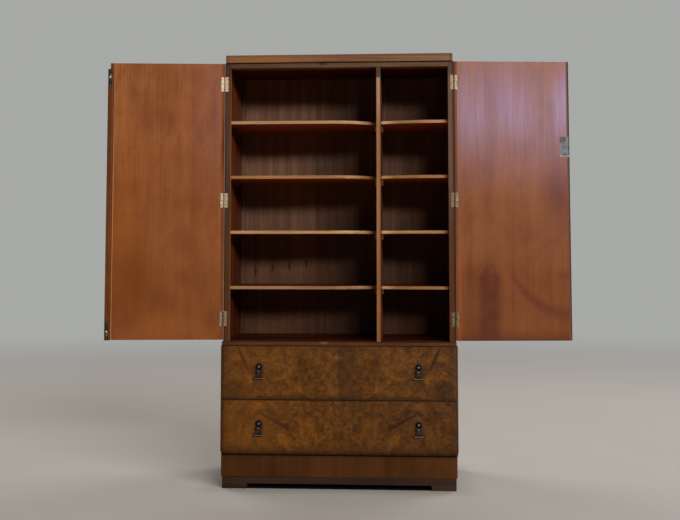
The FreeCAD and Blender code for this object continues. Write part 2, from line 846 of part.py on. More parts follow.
half_rail = drawer_rail_height / 2
lower_box = (plinth_top + bottom_board_thickness + drawer_lift, drawer_split - half_rail - drawer_headroom)
upper_box = (drawer_split + half_rail + drawer_lift, waist_bottom - drawer_headroom)
drawers = (
    ("lower_drawer", plinth_top, drawer_split, lower_box, 0, lower_front_radius, lower_handle_rise),
    ("upper_drawer", drawer_split, waist_bottom, upper_box, upper_front_radius, 0, upper_handle_rise),
)
plate_shape = handle_plate()
drop_shape = handle_drop()
for name, opening_low, opening_high, box_levels, top_radius, bottom_radius, handle_rise in drawers:
    low = opening_low + drawer_split_gap / 2
    high = opening_high - drawer_split_gap / 2
    handle_z = (low + high) / 2 + handle_rise
    parts[f"{name}_front"] = drawer_front(low, high, top_radius, bottom_radius, handle_z)
    sides, ends, bottom = drawer_box(*box_levels)
    parts[f"{name}_sides"] = sides
    parts[f"{name}_ends"] = ends
    parts[f"{name}_bottom"] = bottom
    parts[f"{name}_handle_plates"] = group([placed(plate_shape, 0, side * handle_x, front_face, handle_z)
                                            for side in (-1, 1)])
    parts[f"{name}_left_drop"] = placed(drop_shape, 0, -handle_x, front_face, handle_z)
    parts[f"{name}_right_drop"] = placed(drop_shape, 0, handle_x, front_face, handle_z)

for name, side in (("left", -1), ("right", 1)):
    place = door_handle_place(side)
    parts[f"{name}_door_panel"] = swung(door_panel(side), side)
    parts[f"{name}_door_lippings"] = swung(door_lippings(side), side)
    parts[f"{name}_door_hinge_leaves"] = swung(door_hinge_leaves(side), side)
    parts[f"{name}_door_handle_plate"] = swung(placed(plate_shape, 180, *place), side)
    parts[f"{name}_door_drop"] = swung(placed(drop_shape, 180, *place), side)
parts["closing_strip"] = swung(closing_strip(), -1)
parts["bolt_plates"] = swung(bolt_plates(), -1)
top_place, bottom_place = bolt_places()
parts["top_bolt"] = swung(bolt(*top_place), -1)
parts["bottom_bolt"] = swung(bolt(*bottom_place), -1)
parts["lock_case"] = swung(lock_case(), 1)
parts["lock_bolt"] = swung(lock_bolt_slot(0, 0), 1)
parts["escutcheon"] = swung(escutcheon(), 1)

# Move everything so that the origin is the bottom centre of the whole
whole = group(list(parts.values())).BoundBox
shift = Vector(-(whole.XMin + whole.XMax) / 2, -(whole.YMin + whole.YMax) / 2, -whole.ZMin)

os.makedirs("parts", exist_ok=True)
for node, shape in parts.items():
    shape.translate(shift)
    shape.exportStep(f"parts/{node}.step")


def report(label, point, direction=None):
    """Print a point, and a direction where there is one, in the finished frame."""
    moved = point + shift
    words = f"{label}: {moved.x:.4f} {moved.y:.4f} {moved.z:.4f}"
    if direction:
        words += f" along {direction.x:.6f} {direction.y:.6f} {direction.z:.6f}"
    print(words)


def swung_line(point, direction, side):
    """A point and a direction on a door at flat open, taken to where the door stands."""
    turn = FreeCAD.Rotation(Vector(0, 0, 1), 180 - left_open_angle if side < 0 else right_open_angle - 180)
    pivot = Vector(side * hinge_x, hinge_y, 0)
    return pivot + turn.multVec(point - pivot), turn.multVec(direction)


print(f"{len(parts)} nodes, {sum(len(shape.Solids) for shape in parts.values())} solids, shift {shift}")
for label, side in (("left door hinge", -1), ("right door hinge", 1)):
    report(label, Vector(side * hinge_x, hinge_y, 0))
pin_offset = Vector(0, -handle_pin_out, -handle_pin_drop)
for name, opening_low, opening_high, *_, handle_rise in drawers:
    for label, side in (("left", -1), ("right", 1)):
        middle = (opening_low + opening_high) / 2 + handle_rise
        report(f"{name} {label} drop", Vector(side * handle_x, front_face, middle) + pin_offset)
for label, side in (("left", -1), ("right", 1)):
    x, y, z = door_handle_place(side)
    pin = Vector(x, y + handle_pin_out, z - handle_pin_drop)
    report(f"{label} door drop", *swung_line(pin, Vector(1, 0, 0), side))
report("lock bolt", *swung_line(Vector(door_free_edge, lock_depth / 2, lock_middle()), Vector(1, 0, 0), 1))
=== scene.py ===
# %% [markdown]
# # A tallboy, dressed over its CAD frame
#
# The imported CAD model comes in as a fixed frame: every board, hinge and handle is already in place, in
# metres, with +Z up and +Y towards the back. This script adds what the solids lack: finishes with grain,
# wear and polish, soft edges, the screws and nails, and a camera and light like those of the photograph.

# %% Load the frame
import functools
import json
import math

import bpy
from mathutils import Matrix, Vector


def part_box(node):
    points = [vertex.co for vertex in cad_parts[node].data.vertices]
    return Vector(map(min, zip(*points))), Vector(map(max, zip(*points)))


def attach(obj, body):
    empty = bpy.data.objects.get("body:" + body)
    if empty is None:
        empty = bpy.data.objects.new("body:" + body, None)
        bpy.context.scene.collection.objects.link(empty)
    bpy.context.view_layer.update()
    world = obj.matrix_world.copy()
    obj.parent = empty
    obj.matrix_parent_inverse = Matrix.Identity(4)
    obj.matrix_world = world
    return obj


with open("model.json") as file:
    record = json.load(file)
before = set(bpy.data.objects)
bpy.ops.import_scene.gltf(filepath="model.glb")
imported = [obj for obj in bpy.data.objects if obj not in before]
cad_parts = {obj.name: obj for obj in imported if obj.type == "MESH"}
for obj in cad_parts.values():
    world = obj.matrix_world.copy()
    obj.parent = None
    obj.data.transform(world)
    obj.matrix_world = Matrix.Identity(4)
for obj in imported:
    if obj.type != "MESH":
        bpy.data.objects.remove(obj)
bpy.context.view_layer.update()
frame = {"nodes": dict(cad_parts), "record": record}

nodes = frame["nodes"]
joints = {joint["name"]: joint for joint in frame["record"]["behaviour"]["joints"]}

# %% [markdown]
# ## Measures taken from the frame
#
# Marks and fittings sit at places on the furniture, so a few levels are read once from the boxes of the
# nodes and named. The doors stand a few degrees off flat. The lock's bolt slides along the right door, so
# its axis gives that turn, and both doors stand at the same one.

# %% Levels and faces
def low_and_high(name, axis):
    """The lowest and highest value of a node along one axis."""
    low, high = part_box(name)
    return low[axis], high[axis]


X, Y, Z = 0, 1, 2
door_bottom, door_top = low_and_high("left_door_panel", Z)
carcass_front = low_and_high("front_stiles", Y)[0]
drawer_left, drawer_right = low_and_high("upper_drawer_front", X)
middle = (drawer_left + drawer_right) / 2
left_hinge = Vector(joints["left_door"]["pos_m"])
right_hinge = Vector(joints["right_door"]["pos_m"])
along_door = Vector(joints["lock_bolt"]["axis"]).normalized()
door_face = Vector((along_door.y, -along_door.x, 0.0))
door_turn = math.atan2(along_door.y, along_door.x)
DOOR_THICKNESS = 0.018
door_degrees = round(math.degrees(door_turn), 2)
print("doors from", round(door_bottom, 3), "to", round(door_top, 3), "turned by", door_degrees, "degrees")

# %% [markdown]
# ## Camera
#
# The lens looks slightly up from a little below the cupboard's middle, right of centre, and the frame is
# shifted down to take in the floor. Its place, turn and lens were fitted to corners of the furniture in the
# photograph.

# %% Camera like the photograph's
IMAGE_WIDTH = 680
IMAGE_HEIGHT = 520
SENSOR = 36.0
FOCAL_PIXELS = 1050.9
AXIS_ROW = 176.3
CAMERA_PLACE = Vector((0.2647, -4.2594, 0.8956))
CAMERA_YAW = math.radians(-3.590)
CAMERA_PITCH = math.radians(4.225)


def new_object(name, data):
    """A new object in the scene for some data."""
    made = bpy.data.objects.new(name, data)
    bpy.context.collection.objects.link(made)
    return made


camera_data = bpy.data.cameras.new("camera")
camera_data.sensor_width = SENSOR
camera_data.lens = FOCAL_PIXELS / IMAGE_WIDTH * SENSOR
camera_data.shift_y = (AXIS_ROW - IMAGE_HEIGHT / 2) / IMAGE_WIDTH
camera = new_object("camera", camera_data)
camera.location = CAMERA_PLACE
camera.rotation_euler = (math.pi / 2 + CAMERA_PITCH, 0.0, -CAMERA_YAW)
bpy.context.scene.camera = camera
print("lens", round(camera_data.lens, 2), "mm, shift", round(camera_data.shift_y, 4))

# %% [markdown]
# ## Small helpers for finishes
#
# A finish is a tree of nodes, and the same few steps come again and again: stretch the coordinates along
# the grain, make noise, turn noise into colour. Each helper adds its nodes and returns the last output as a
# signal. Signals are added and multiplied like numbers, and every such step adds a Math node, so a finish
# reads like a sum. Coordinates are always the object's own, so a pattern stays on its board when it moves.

# %% Signals
class Signal:
    """An output of a node: a value, a place or a colour. Arithmetic on signals adds Math nodes."""

    def __init__(self, socket):
        self.socket = socket
        self.tree = socket.id_data

    def __add__(self, other):
        return maths("ADD", self, other)

    def __sub__(self, other):
        return maths("SUBTRACT", self, other)

    def __rsub__(self, other):
        return maths("SUBTRACT", other, self)

    def __mul__(self, other):
        return maths("MULTIPLY", self, other)

    def __truediv__(self, other):
        return maths("DIVIDE", self, other)

    def __abs__(self):
        return maths("ABSOLUTE", self)

    def part(self, axis):
        return add(self.tree, "ShaderNodeSeparateXYZ", {"Vector": self}, output=axis)

    def into(self, socket):
        """Link this output to an input."""
        self.tree.links.new(self.socket, socket)

    __radd__ = __add__
    x = property(lambda self: self.part("X"))
    y = property(lambda self: self.part("Y"))
    z = property(lambda self: self.part("Z"))


def add(tree, kind, inputs=(), output=0, **settings):
    """One node with its settings, and its inputs filled with plain values or with signals."""
    made = tree.nodes.new(kind)
    for key, value in settings.items():
        setattr(made, key, value)
    for key, value in dict(inputs).items():
        if isinstance(value, Signal):
            value.into(made.inputs[key])
        else:
            made.inputs[key].default_value = value
    return Signal(made.outputs[output])


def tree_of(*values):
    """The tree of the first signal among some values."""
    return next(value.tree for value in values if isinstance(value, Signal))


def maths(operation, *values):
    return add(tree_of(*values), "ShaderNodeMath", dict(enumerate(values)), operation=operation)


print("signals ready")


# %% Helpers for places and noise
def place(tree):
    """The place on the piece, in metres."""
    return add(tree, "ShaderNodeTexCoord", output="Object")


def facing(here):
    """The way that the surface faces, in the piece's own axes."""
    return add(here.tree, "ShaderNodeTexCoord", output="Normal")


def vector_of(x=0.0, y=0.0, z=0.0):
    return add(tree_of(x, y, z), "ShaderNodeCombineXYZ", {"X": x, "Y": y, "Z": z})


def stretched(vector, scale):
    return add(vector.tree, "ShaderNodeMapping", {"Vector": vector, "Scale": scale})


def moved(vector, move):
    return add(vector.tree, "ShaderNodeMapping", {"Vector": vector, "Location": move})


def measured_from(vector, origin, turn):
    """Places measured from an origin, along axes turned about Z."""
    inputs = {"Vector": vector, "Location": origin, "Rotation": (0.0, 0.0, turn)}
    return add(vector.tree, "ShaderNodeMapping", inputs, vector_type="TEXTURE")


def noise(vector, scale=1.0, detail=4.0, rough=0.55, twist=0.0):
    inputs = {"Vector": vector, "Scale": scale, "Detail": detail, "Roughness": rough, "Distortion": twist}
    return add(vector.tree, "ShaderNodeTexNoise", inputs)


print("helpers for places and noise")

# %% Helpers for values and colours
# A Mix node has sockets for every kind of data. These are the places of those for colours.
MIX_SHARE, MIX_FIRST, MIX_SECOND, MIX_RESULT = 0, 6, 7, 2


def spread(value, low, high, to_low, to_high):
    """The value between two levels, eased over to two others."""
    inputs = {"Value": value, "From Min": low, "From Max": high, "To Min": to_low, "To Max": to_high}
    return add(value.tree, "ShaderNodeMapRange", inputs, interpolation_type="SMOOTHSTEP")


def rise(value, low, high, most=1.0):
    """0 below one level of the value, eased up to the most at another."""
    return spread(value, low, high, 0.0, most)


def fall(value, low, high, most=1.0):
    """The most below one level of the value, eased down to 0 at another."""
    return spread(value, low, high, most, 0.0)


def swing(value, share):
    """A noise value as a swing about zero."""
    return (value - 0.5) * share


def largest(*values):
    return functools.reduce(functools.partial(maths, "MAXIMUM"), values)


def hypotenuse(across, up):
    return maths("SQRT", across * across + up * up)


def srgb(red, green, blue):
    """A colour read off a picture, 0 to 255, as the linear values that a shader takes."""
    shares = (red / 255, green / 255, blue / 255)
    return tuple(c / 12.92 if c <= 0.04045 else ((c + 0.055) / 1.055) ** 2.4 for c in shares)


def rgba(colour):
    """A colour as a socket takes it: a signal as it is, or three plain values with full opacity."""
    return colour if isinstance(colour, Signal) else (*colour, 1.0)


def colours(value, *stops):
    """Colours along a value: each stop is a place from 0 to 1 and a colour."""
    made = value.tree.nodes.new("ShaderNodeValToRGB")
    ramp = made.color_ramp
    while len(ramp.elements) < len(stops):
        ramp.elements.new(0.5)
    for element, (where, colour) in zip(ramp.elements, stops):
        element.position = where
        element.color = rgba(colour)
    value.into(made.inputs["Fac"])
    return Signal(made.outputs["Color"])


def mixed(share, first, second, blend="MIX"):
    """Two colours mixed by a share."""
    inputs = {MIX_SHARE: share, MIX_FIRST: rgba(first), MIX_SECOND: rgba(second)}
    tree = tree_of(share, first, second)
    return add(tree, "ShaderNodeMix", inputs, output=MIX_RESULT, data_type="RGBA", blend_type=blend)


def over(colour, *marks):
    """A colour with marks laid over it in turn, each a share and the mark's own colour."""
    for share, mark in marks:
        colour = mixed(share, colour, mark)
    return colour


def dimmed(colour, share):
    """A colour taken down to a share of its light."""
    return mixed(1.0, colour, share, "MULTIPLY")


print("helpers for values and colours")

# %% Helpers for marks and whole finishes
WHITE = (1.0, 1.0, 1.0)


def spot(across, up, centre, half, soft=1.0):
    """An oval mark: 1 in its middle, 0 outside, and soft over a share of its half size."""
    away = hypotenuse((across - centre[0]) / half[0], (up - centre[1]) / half[1])
    return fall(away, 1.0 - soft, 1.0)


def bump(height, distance):
    return add(height.tree, "ShaderNodeBump", {"Height": height, "Distance": distance})


def worn_edges(here, reach):
    """1 along sharp edges, where a rounded normal leaves the true one, and 0 on flat stretches."""
    eased = add(here.tree, "ShaderNodeBevel", {"Radius": reach}, samples=4)
    true = add(here.tree, "ShaderNodeNewGeometry", output="Normal")
    both = {0: eased, 1: true}
    alike = add(here.tree, "ShaderNodeVectorMath", both, output="Value", operation="DOT_PRODUCT")
    return fall(alike, 0.80, 0.98)


def finish_named(name, gloss, gloss_tint=WHITE, metallic=0.0):
    """A new finish: the material, its shader with the constant sockets set, and the place on the piece."""
    material = bpy.data.materials.new(name)
    material.use_nodes = True
    shader = material.node_tree.nodes["Principled BSDF"]
    shader.inputs["Metallic"].default_value = metallic
    shader.inputs["Specular IOR Level"].default_value = gloss
    shader.inputs["Specular Tint"].default_value = rgba(gloss_tint)
    return material, shader, place(material.node_tree)


def wire_up(shader, colour, roughness, normal):
    colour.into(shader.inputs["Base Color"])
    roughness.into(shader.inputs["Roughness"])
    normal.into(shader.inputs["Normal"])


def paint(material, *names):
    """Give a finish to CAD nodes."""
    for name in names:
        materials = nodes[name].data.materials
        materials.clear()
        materials.append(material)
    print(material.name, "on", ", ".join(names))


print("helpers for marks and whole finishes")

# %% [markdown]
# ## Light
#
# In the photograph every shelf throws a crisp, level shadow a little way down the back panel, while the
# shadow of the upright divider has a firm edge and then spreads far to the left. Two flat lamps do that: a
# narrow window almost in front, and a wide one further to the right, a little lower. Both stand far off, so
# that the light is even from top to bottom. Two weak lamps behind the piece show its back and sides.

# %% Window lamps
DAYLIGHT = (1.0, 0.98, 0.95)
AIM_LEVEL = 1.05
WINDOW_FAR = 12.0
BACK_FAR = 6.0


def lamp_power(level, distance):
    """Watts that light a facing surface at this distance so that level 1 shows a colour about as written."""
    return level * math.pi ** 2 * distance ** 2


def flat_lamp(name, side, distance, width, height, level):
    """A flat lamp on one side of the piece, facing its middle."""
    data = bpy.data.lights.new(name, "AREA")
    data.shape = "RECTANGLE"
    data.size = width
    data.size_y = height
    data.energy = lamp_power(level, distance)
    data.color = DAYLIGHT
    lamp = new_object(name, data)
    towards = Vector(side).normalized()
    lamp.location = Vector((0.0, carcass_front, AIM_LEVEL)) + towards * distance
    lamp.rotation_euler = towards.to_track_quat("Z", "Y").to_euler()
    print(name, "lamp at", [round(v, 2) for v in lamp.location], "with", round(data.energy), "W")


flat_lamp("near_window", (0.34, -1.0, 0.315), WINDOW_FAR, width=2.8, height=1.2, level=0.34)
flat_lamp("wide_window", (0.85, -1.0, 0.335), WINDOW_FAR, width=5.8, height=1.2, level=0.76)
flat_lamp("left_back", (-0.9, 0.8, 0.9), BACK_FAR, width=3.0, height=3.0, level=0.30)
flat_lamp("right_back", (0.9, 0.8, 0.9), BACK_FAR, width=3.0, height=3.0, level=0.30)

# %% [markdown]
# ## Pale surroundings
#
# The piece stands on a pale round floor that fades into an equally pale sky, so no edge shows from any
# side. The paleness is a glow that only the camera and reflections see, and it fades out near the piece and
# stops under it, where the floor keeps its shadow; there the floor's own colour is also painted nearly
# black, a painted shadow. Light that bounces meets a weak, warm sky and a warm floor, so the shade in the
# cupboard is brown.

# %% Sky and floor
PALE_SKY = (0.93, 0.95, 0.92)
SKY_SEEN = 0.42
SKY_LIGHT = 0.10
WARM_SHADE = (1.0, 0.42, 0.12)
FLOOR_RADIUS = 9.0
RIM_POINTS = 96


def seen_rays(tree):
    """1 for rays from the camera or from a mirror or glass, 0 for light that bounces."""
    camera_ray, glossy, clear = [add(tree, "ShaderNodeLightPath", output=f"Is {kind} Ray")
                                 for kind in ("Camera", "Glossy", "Transmission")]
    return maths("MINIMUM", camera_ray + glossy + clear, 1.0)


sky = bpy.data.worlds.new("sky")
sky.use_nodes = True
background = sky.node_tree.nodes["Background"]
sky_seen = seen_rays(sky.node_tree)
mixed(sky_seen, WARM_SHADE, PALE_SKY).into(background.inputs["Color"])
spread(sky_seen, 0.0, 1.0, SKY_LIGHT, SKY_SEEN).into(background.inputs["Strength"])
bpy.context.scene.world = sky
bpy.context.scene.view_settings.view_transform = "Standard"

rim_angles = [i * math.tau / RIM_POINTS for i in range(RIM_POINTS)]
rim = [(FLOOR_RADIUS * math.cos(angle), FLOOR_RADIUS * math.sin(angle), 0.0) for angle in rim_angles]
floor_mesh = bpy.data.meshes.new("floor")
floor_mesh.from_pydata(rim, [], [list(range(RIM_POINTS))])
floor = new_object("floor", floor_mesh)
print("floor disc of", FLOOR_RADIUS, "m")

# %% Floor finish
PALE_FLOOR = (0.50, 0.50, 0.48)
WARM_BOUNCE = (0.58, 0.32, 0.13)
PAINTED_SHADOW_UNDER = (0.01, 0.008, 0.006)
BLACK = (0.0, 0.0, 0.0)
FLOOR_GLOW = 0.06
GLOW_EASE = 0.12
UNDER_EASE = 0.012
FADE_START = 2.0
FADE_END = 0.9 * FLOOR_RADIUS
FLOOR_ROUGHNESS = 0.9
floor_finish, floor_shader, on_floor = finish_named("pale_floor", gloss=0.0)
base_low, base_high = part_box("base_frame")
past_base = largest(on_floor.x - base_high.x, base_low.x - on_floor.x,
                    on_floor.y - base_high.y, base_low.y - on_floor.y)
from_middle = hypotenuse(on_floor.x, on_floor.y)
faded = rise(from_middle, FADE_START, FADE_END)
near_glow = rise(past_base, 0.0, GLOW_EASE, FLOOR_GLOW)
glow = near_glow + (SKY_SEEN - near_glow) * faded
mottle = spread(noise(on_floor, scale=2.0, detail=5.0), 0.2, 0.8, 0.98, 1.02)
# Under the piece the floor's colour is painted nearly black: a painted shadow.
under = fall(past_base, -UNDER_EASE, 0.0)
ground = over(dimmed(PALE_FLOOR, mottle), (under, PAINTED_SHADOW_UNDER), (faded, BLACK))
floor_seen = seen_rays(on_floor.tree)
mixed(floor_seen, WARM_BOUNCE, ground).into(floor_shader.inputs["Base Color"])
(glow * floor_seen).into(floor_shader.inputs["Emission Strength"])
floor_shader.inputs["Emission Color"].default_value = rgba(PALE_SKY)
floor_shader.inputs["Roughness"].default_value = FLOOR_ROUGHNESS
floor.data.materials.append(floor_finish)
print("floor finish, dark inside", [round(v, 3) for v in (*base_low.xy, *base_high.xy)])

# %% [markdown]
# ## Straight-grained wood
#
# Most boards are straight-grained: soft streaks along the board, a slow drift of colour across it, and fine
# dark pores that also dent the surface. Noise that is squeezed across the board and drawn out along it
# looks like fibres, so one function makes every straight grain from the direction, three colours and a few
# strengths.

# %% Straight grain
BROAD_FIBRES = (22.0, 0.9)
FINE_FIBRES = (150.0, 3.0)
PORE_FIBRES = (900.0, 30.0)
EDGE_REACH = 0.0015
WOOD_RELIEF = 0.0002


def fibres(vector, along, scales, **settings):
    """Noise squeezed by a large scale across the grain and drawn out by a small one along it."""
    across_scale, along_scale = scales
    scale = tuple(along_scale if axis == along else across_scale for axis in "xyz")
    return noise(stretched(vector, scale), **settings)


def grain(vector, tones, along="z", streaks=1.0, drift=0.5, pores=0.5):
    """Colour, relief and slow drift of a straight grain. tones are a dark, a middle and a light colour."""
    broad = fibres(vector, along, BROAD_FIBRES, detail=3.0, twist=0.5)
    fine = fibres(vector, along, FINE_FIBRES, detail=4.0, rough=0.65)
    pore = fibres(vector, along, PORE_FIBRES, detail=2.0)
    slow = noise(vector, scale=4.0, detail=3.0)
    level = 0.5 + swing(broad, 1.1 * streaks) + swing(fine, 0.8 * streaks) + swing(slow, drift)
    dark, middle_tone, light = tones
    pore_mark = fall(pore, 0.30, 0.45, pores)
    colour = colours(level, (0.22, dark), (0.5, middle_tone), (0.78, light))
    colour = mixed(pore_mark, colour, tuple(c * 0.4 for c in dark))
    return colour, fine * 0.4 - pore_mark, slow


def straight_wood(name, tones, along="z", shift=0.0, roughness=0.45, gloss=0.12, shade=None, **strengths):
    """A finish of straight-grained wood. shade is a last step from place and colour to a colour."""
    material, shader, here = finish_named(name, gloss)
    board = moved(here, (shift, 1.7 * shift, 0.6 * shift))
    colour, relief, slow = grain(board, tones, along, **strengths)
    if shade:
        colour = shade(here, colour)
    lightened = worn_edges(here, EDGE_REACH) * spread(slow, 0.35, 0.65, 0.05, 0.4)
    rough = spread(slow, 0.3, 0.7, roughness - 0.07, roughness + 0.07)
    wire_up(shader, mixed(lightened, colour, tones[2]), rough, bump(relief, WOOD_RELIEF))
    return material


print("straight grain ready")

# %% [markdown]
# ## Carcass
#
# The case is walnut that has gone grey-brown outside. Inside, the walls kept a warm red-brown, because no
# light fell on them for years, so a wall's colour follows how far it is from the middle. The top of each
# front stile is dark from hands and polish.

# %% Carcass walnut
WALNUT = (srgb(50, 31, 16), srgb(71, 45, 25), srgb(90, 61, 37))
INNER_RED = (srgb(62, 25, 10), srgb(90, 42, 18), srgb(110, 58, 28))
FILLET = (srgb(60, 40, 30), srgb(88, 62, 50), srgb(108, 80, 66))
LOW_SHADE = (0.46, 0.36, 0.26)
LIT_BELOW_TOP = 0.35
SIDE_EASE = 0.1
fillets_left, fillets_right = low_and_high("rear_fillets", X)
wall_inner = (fillets_right - fillets_left) / 2


def painted_shade_low(here, colour):
    """A colour inside the cupboard, darker towards its floor: painted shade, standing for light that falls
    off lower down.
    """
    return dimmed(colour, mixed(rise(here.z, door_bottom, door_top - LIT_BELOW_TOP), LOW_SHADE, WHITE))


def inner_walls(here, colour):
    """Red-brown on the faces towards the inside, grey-brown outside, and dark along the front edge."""
    inside = fall(abs(here.x - middle), wall_inner, wall_inner + 0.002)
    front_edge = fall(here.y, carcass_front, carcass_front + 0.003, 0.7)
    red = grain(here, INNER_RED)[0]
    return over(colour, (inside, painted_shade_low(here, red)), (front_edge, srgb(44, 32, 24)))


def by_side(here, left, right):
    """One value on the left of the piece and another on the right."""
    return spread(here.x - middle, -SIDE_EASE, SIDE_EASE, left, right)


def worn_and_lit_stiles(here, colour):
    """Greyer high up on the right, redder low down, grimy at the top, and lighter on the side that faces
    inward: a painted highlight.
    """
    grey = by_side(here, 0.0, 1.0) * rise(here.z, 0.9, 1.3, 0.6)
    red = by_side(here, 0.65, 0.95) * fall(here.z, 0.85, 1.15)
    inward = facing(here).x * by_side(here, 1.0, -1.0)
    # The side that faces inward is painted lighter: a painted highlight where light from the right falls on
    # it.
    lightened = rise(inward, 0.6, 0.9, 0.7)
    dirt_and_light = rise(here.z, door_top - 0.075, door_top - 0.03, 0.55)
    return over(colour, (grey, srgb(100, 80, 68)), (red, srgb(75, 42, 12)), (lightened, srgb(150, 98, 58)),
                (dirt_and_light, srgb(38, 28, 22)))


paint(straight_wood("carcass_walnut", WALNUT, shade=inner_walls),
      "upper_left_side", "upper_right_side", "lower_left_side", "lower_right_side")
paint(straight_wood("stile_walnut", WALNUT, shift=3.7, shade=worn_and_lit_stiles), "front_stiles")
paint(straight_wood("fillet_wood", FILLET, shift=1.1, shade=painted_shade_low), "rear_fillets")

# %% [markdown]
# ## Top board and top rail
#
# The top board's front edge catches the light and shows a warmer, golden grain along its length. The rail
# under it is duller and greyer, with one dark chip near its middle, and its underside is painted light and
# warm: a painted bounce light.

# %% Top board and rail
TOP = (srgb(78, 52, 32), srgb(112, 81, 56), srgb(138, 103, 73))
RAIL = (srgb(62, 45, 32), srgb(83, 64, 48), srgb(99, 78, 61))
rail_top = low_and_high("top_rail", Z)[1]
board_top = low_and_high("top_board", Z)[1]


def underside(here):
    """1 on faces that look down."""
    return fall(facing(here).z, -0.9, -0.6)


def sunned_top(here, colour):
    """More golden towards the left, dark at both ends and along the upper front edge, red-brown below."""
    left_of_middle = middle - here.x
    golden = rise(left_of_middle, 0.05, 0.3, 0.45) * spread(left_of_middle, 0.36, 0.43, 1.0, 0.2)
    ends = rise(abs(left_of_middle), 0.425, 0.445, 0.6)
    upper = rise(here.z, board_top - 0.013, board_top - 0.007, 0.6)
    edge = upper * fall(facing(here).y, -0.6, -0.3)
    return over(colour, (golden, srgb(140, 92, 46)), (ends, srgb(62, 44, 32)), (edge, srgb(96, 62, 44)),
                (underside(here), srgb(84, 32, 8)))


def chip_and_painted_underside(here, colour):
    """One small dark chip on the rail, left of the middle, and a warm, light underside: painted bounce light.
    """
    chip = spot(here.x, here.z, (middle - 0.064, rail_top - 0.006), (0.018, 0.006), soft=0.3)
    # The underside is painted light and warm: a painted bounce light.
    return over(colour, (chip * 0.7, srgb(40, 26, 20)), (underside(here), srgb(120, 74, 30)))


paint(straight_wood("top_walnut", TOP, along="x", shift=1.3, roughness=0.4, shade=sunned_top), "top_board")
paint(straight_wood("rail_walnut", RAIL, along="x", shift=5.1, shade=chip_and_painted_underside), "top_rail")

# %% [markdown]
# ## Burr walnut
#
# The drawer fronts, and the outer faces of the doors, carry burr walnut: golden brown veneer, cut from a
# knotty growth, full of swirls, clouds and tiny dark eyes. Swirls are noise whose coordinates are pushed
# about by more noise. The eyes are small Voronoi cells.

# %% Burr figure
BURR = (srgb(44, 25, 8), srgb(74, 44, 11), srgb(97, 60, 17), srgb(126, 80, 26))
BURR_EYE = srgb(34, 18, 7)
VENEER_RELIEF = 0.00015
LINE_EASE = 0.02


def burr(veneer):
    """Colour and relief of burr walnut. veneer is the place on the leaf: X across, Y up."""
    swirl = noise(veneer, scale=9.0, detail=6.0, rough=0.6, twist=2.0)
    cloud = noise(veneer, scale=4.0, detail=3.0, twist=0.7)
    blotch = noise(veneer, scale=26.0, detail=5.0, rough=0.6, twist=1.0)
    fleck = noise(veneer, scale=85.0, detail=5.0, rough=0.7, twist=1.2)
    vein = abs(noise(veneer, scale=14.0, detail=5.0, rough=0.6, twist=3.0) - 0.5)
    level = 0.5 + swing(swirl, 0.55) + swing(cloud, 0.45) + swing(blotch, 0.72) + swing(fleck, 0.78)
    deep, brown, golden, bright = BURR
    colour = colours(level, (0.24, deep), (0.42, brown), (0.58, golden), (0.80, bright))
    dark_vein = fall(vein, 0.0, 0.03, 0.35) * fall(cloud, 0.45, 0.62)
    eye_place = add(veneer.tree, "ShaderNodeTexVoronoi", {"Vector": veneer, "Scale": 95.0}, output="Distance")
    eye = fall(eye_place, 0.10, 0.26) * fall(swirl, 0.50, 0.60, 0.75)
    return over(colour, (dark_vein, deep), (eye, BURR_EYE)), fleck * 0.5 - eye


def figure_line(veneer, start, end, width):
    """A dark line of figure across the leaf, from one place to another."""
    turn = math.atan2(end[1] - start[1], end[0] - start[0])
    length = math.hypot(end[0] - start[0], end[1] - start[1])
    on_line = measured_from(veneer, (*start, 0.0), turn)
    aside = abs(on_line.y + swing(noise(veneer, scale=30.0, detail=3.0), 0.02))
    begun = rise(on_line.x, -LINE_EASE, LINE_EASE)
    ended = fall(on_line.x, length - LINE_EASE, length + LINE_EASE)
    return fall(aside, 0.0, width) * begun * ended


print("burr figure ready")

# %% [markdown]
# ## Drawer fronts
#
# Two leaves of veneer, cut one after the other, are opened like a book, so the figure is mirrored about a
# seam. Distance from the seam, taken without its sign, gives the mirror for free. Each front has its own
# pair of leaves and its own mirrored diagonal lines. On the upper one the right leaf is darker beside the
# seam. Polish and dirt have darkened the ends and the lower edge where the front turns under, and a thin
# dark line runs along the top. The wood round the handles is darkened by dirt and by a painted shadow of
# the handles.

# %% Drawer fronts
HANDLE_OUT = 0.306
LINE_WIDTH = 0.010


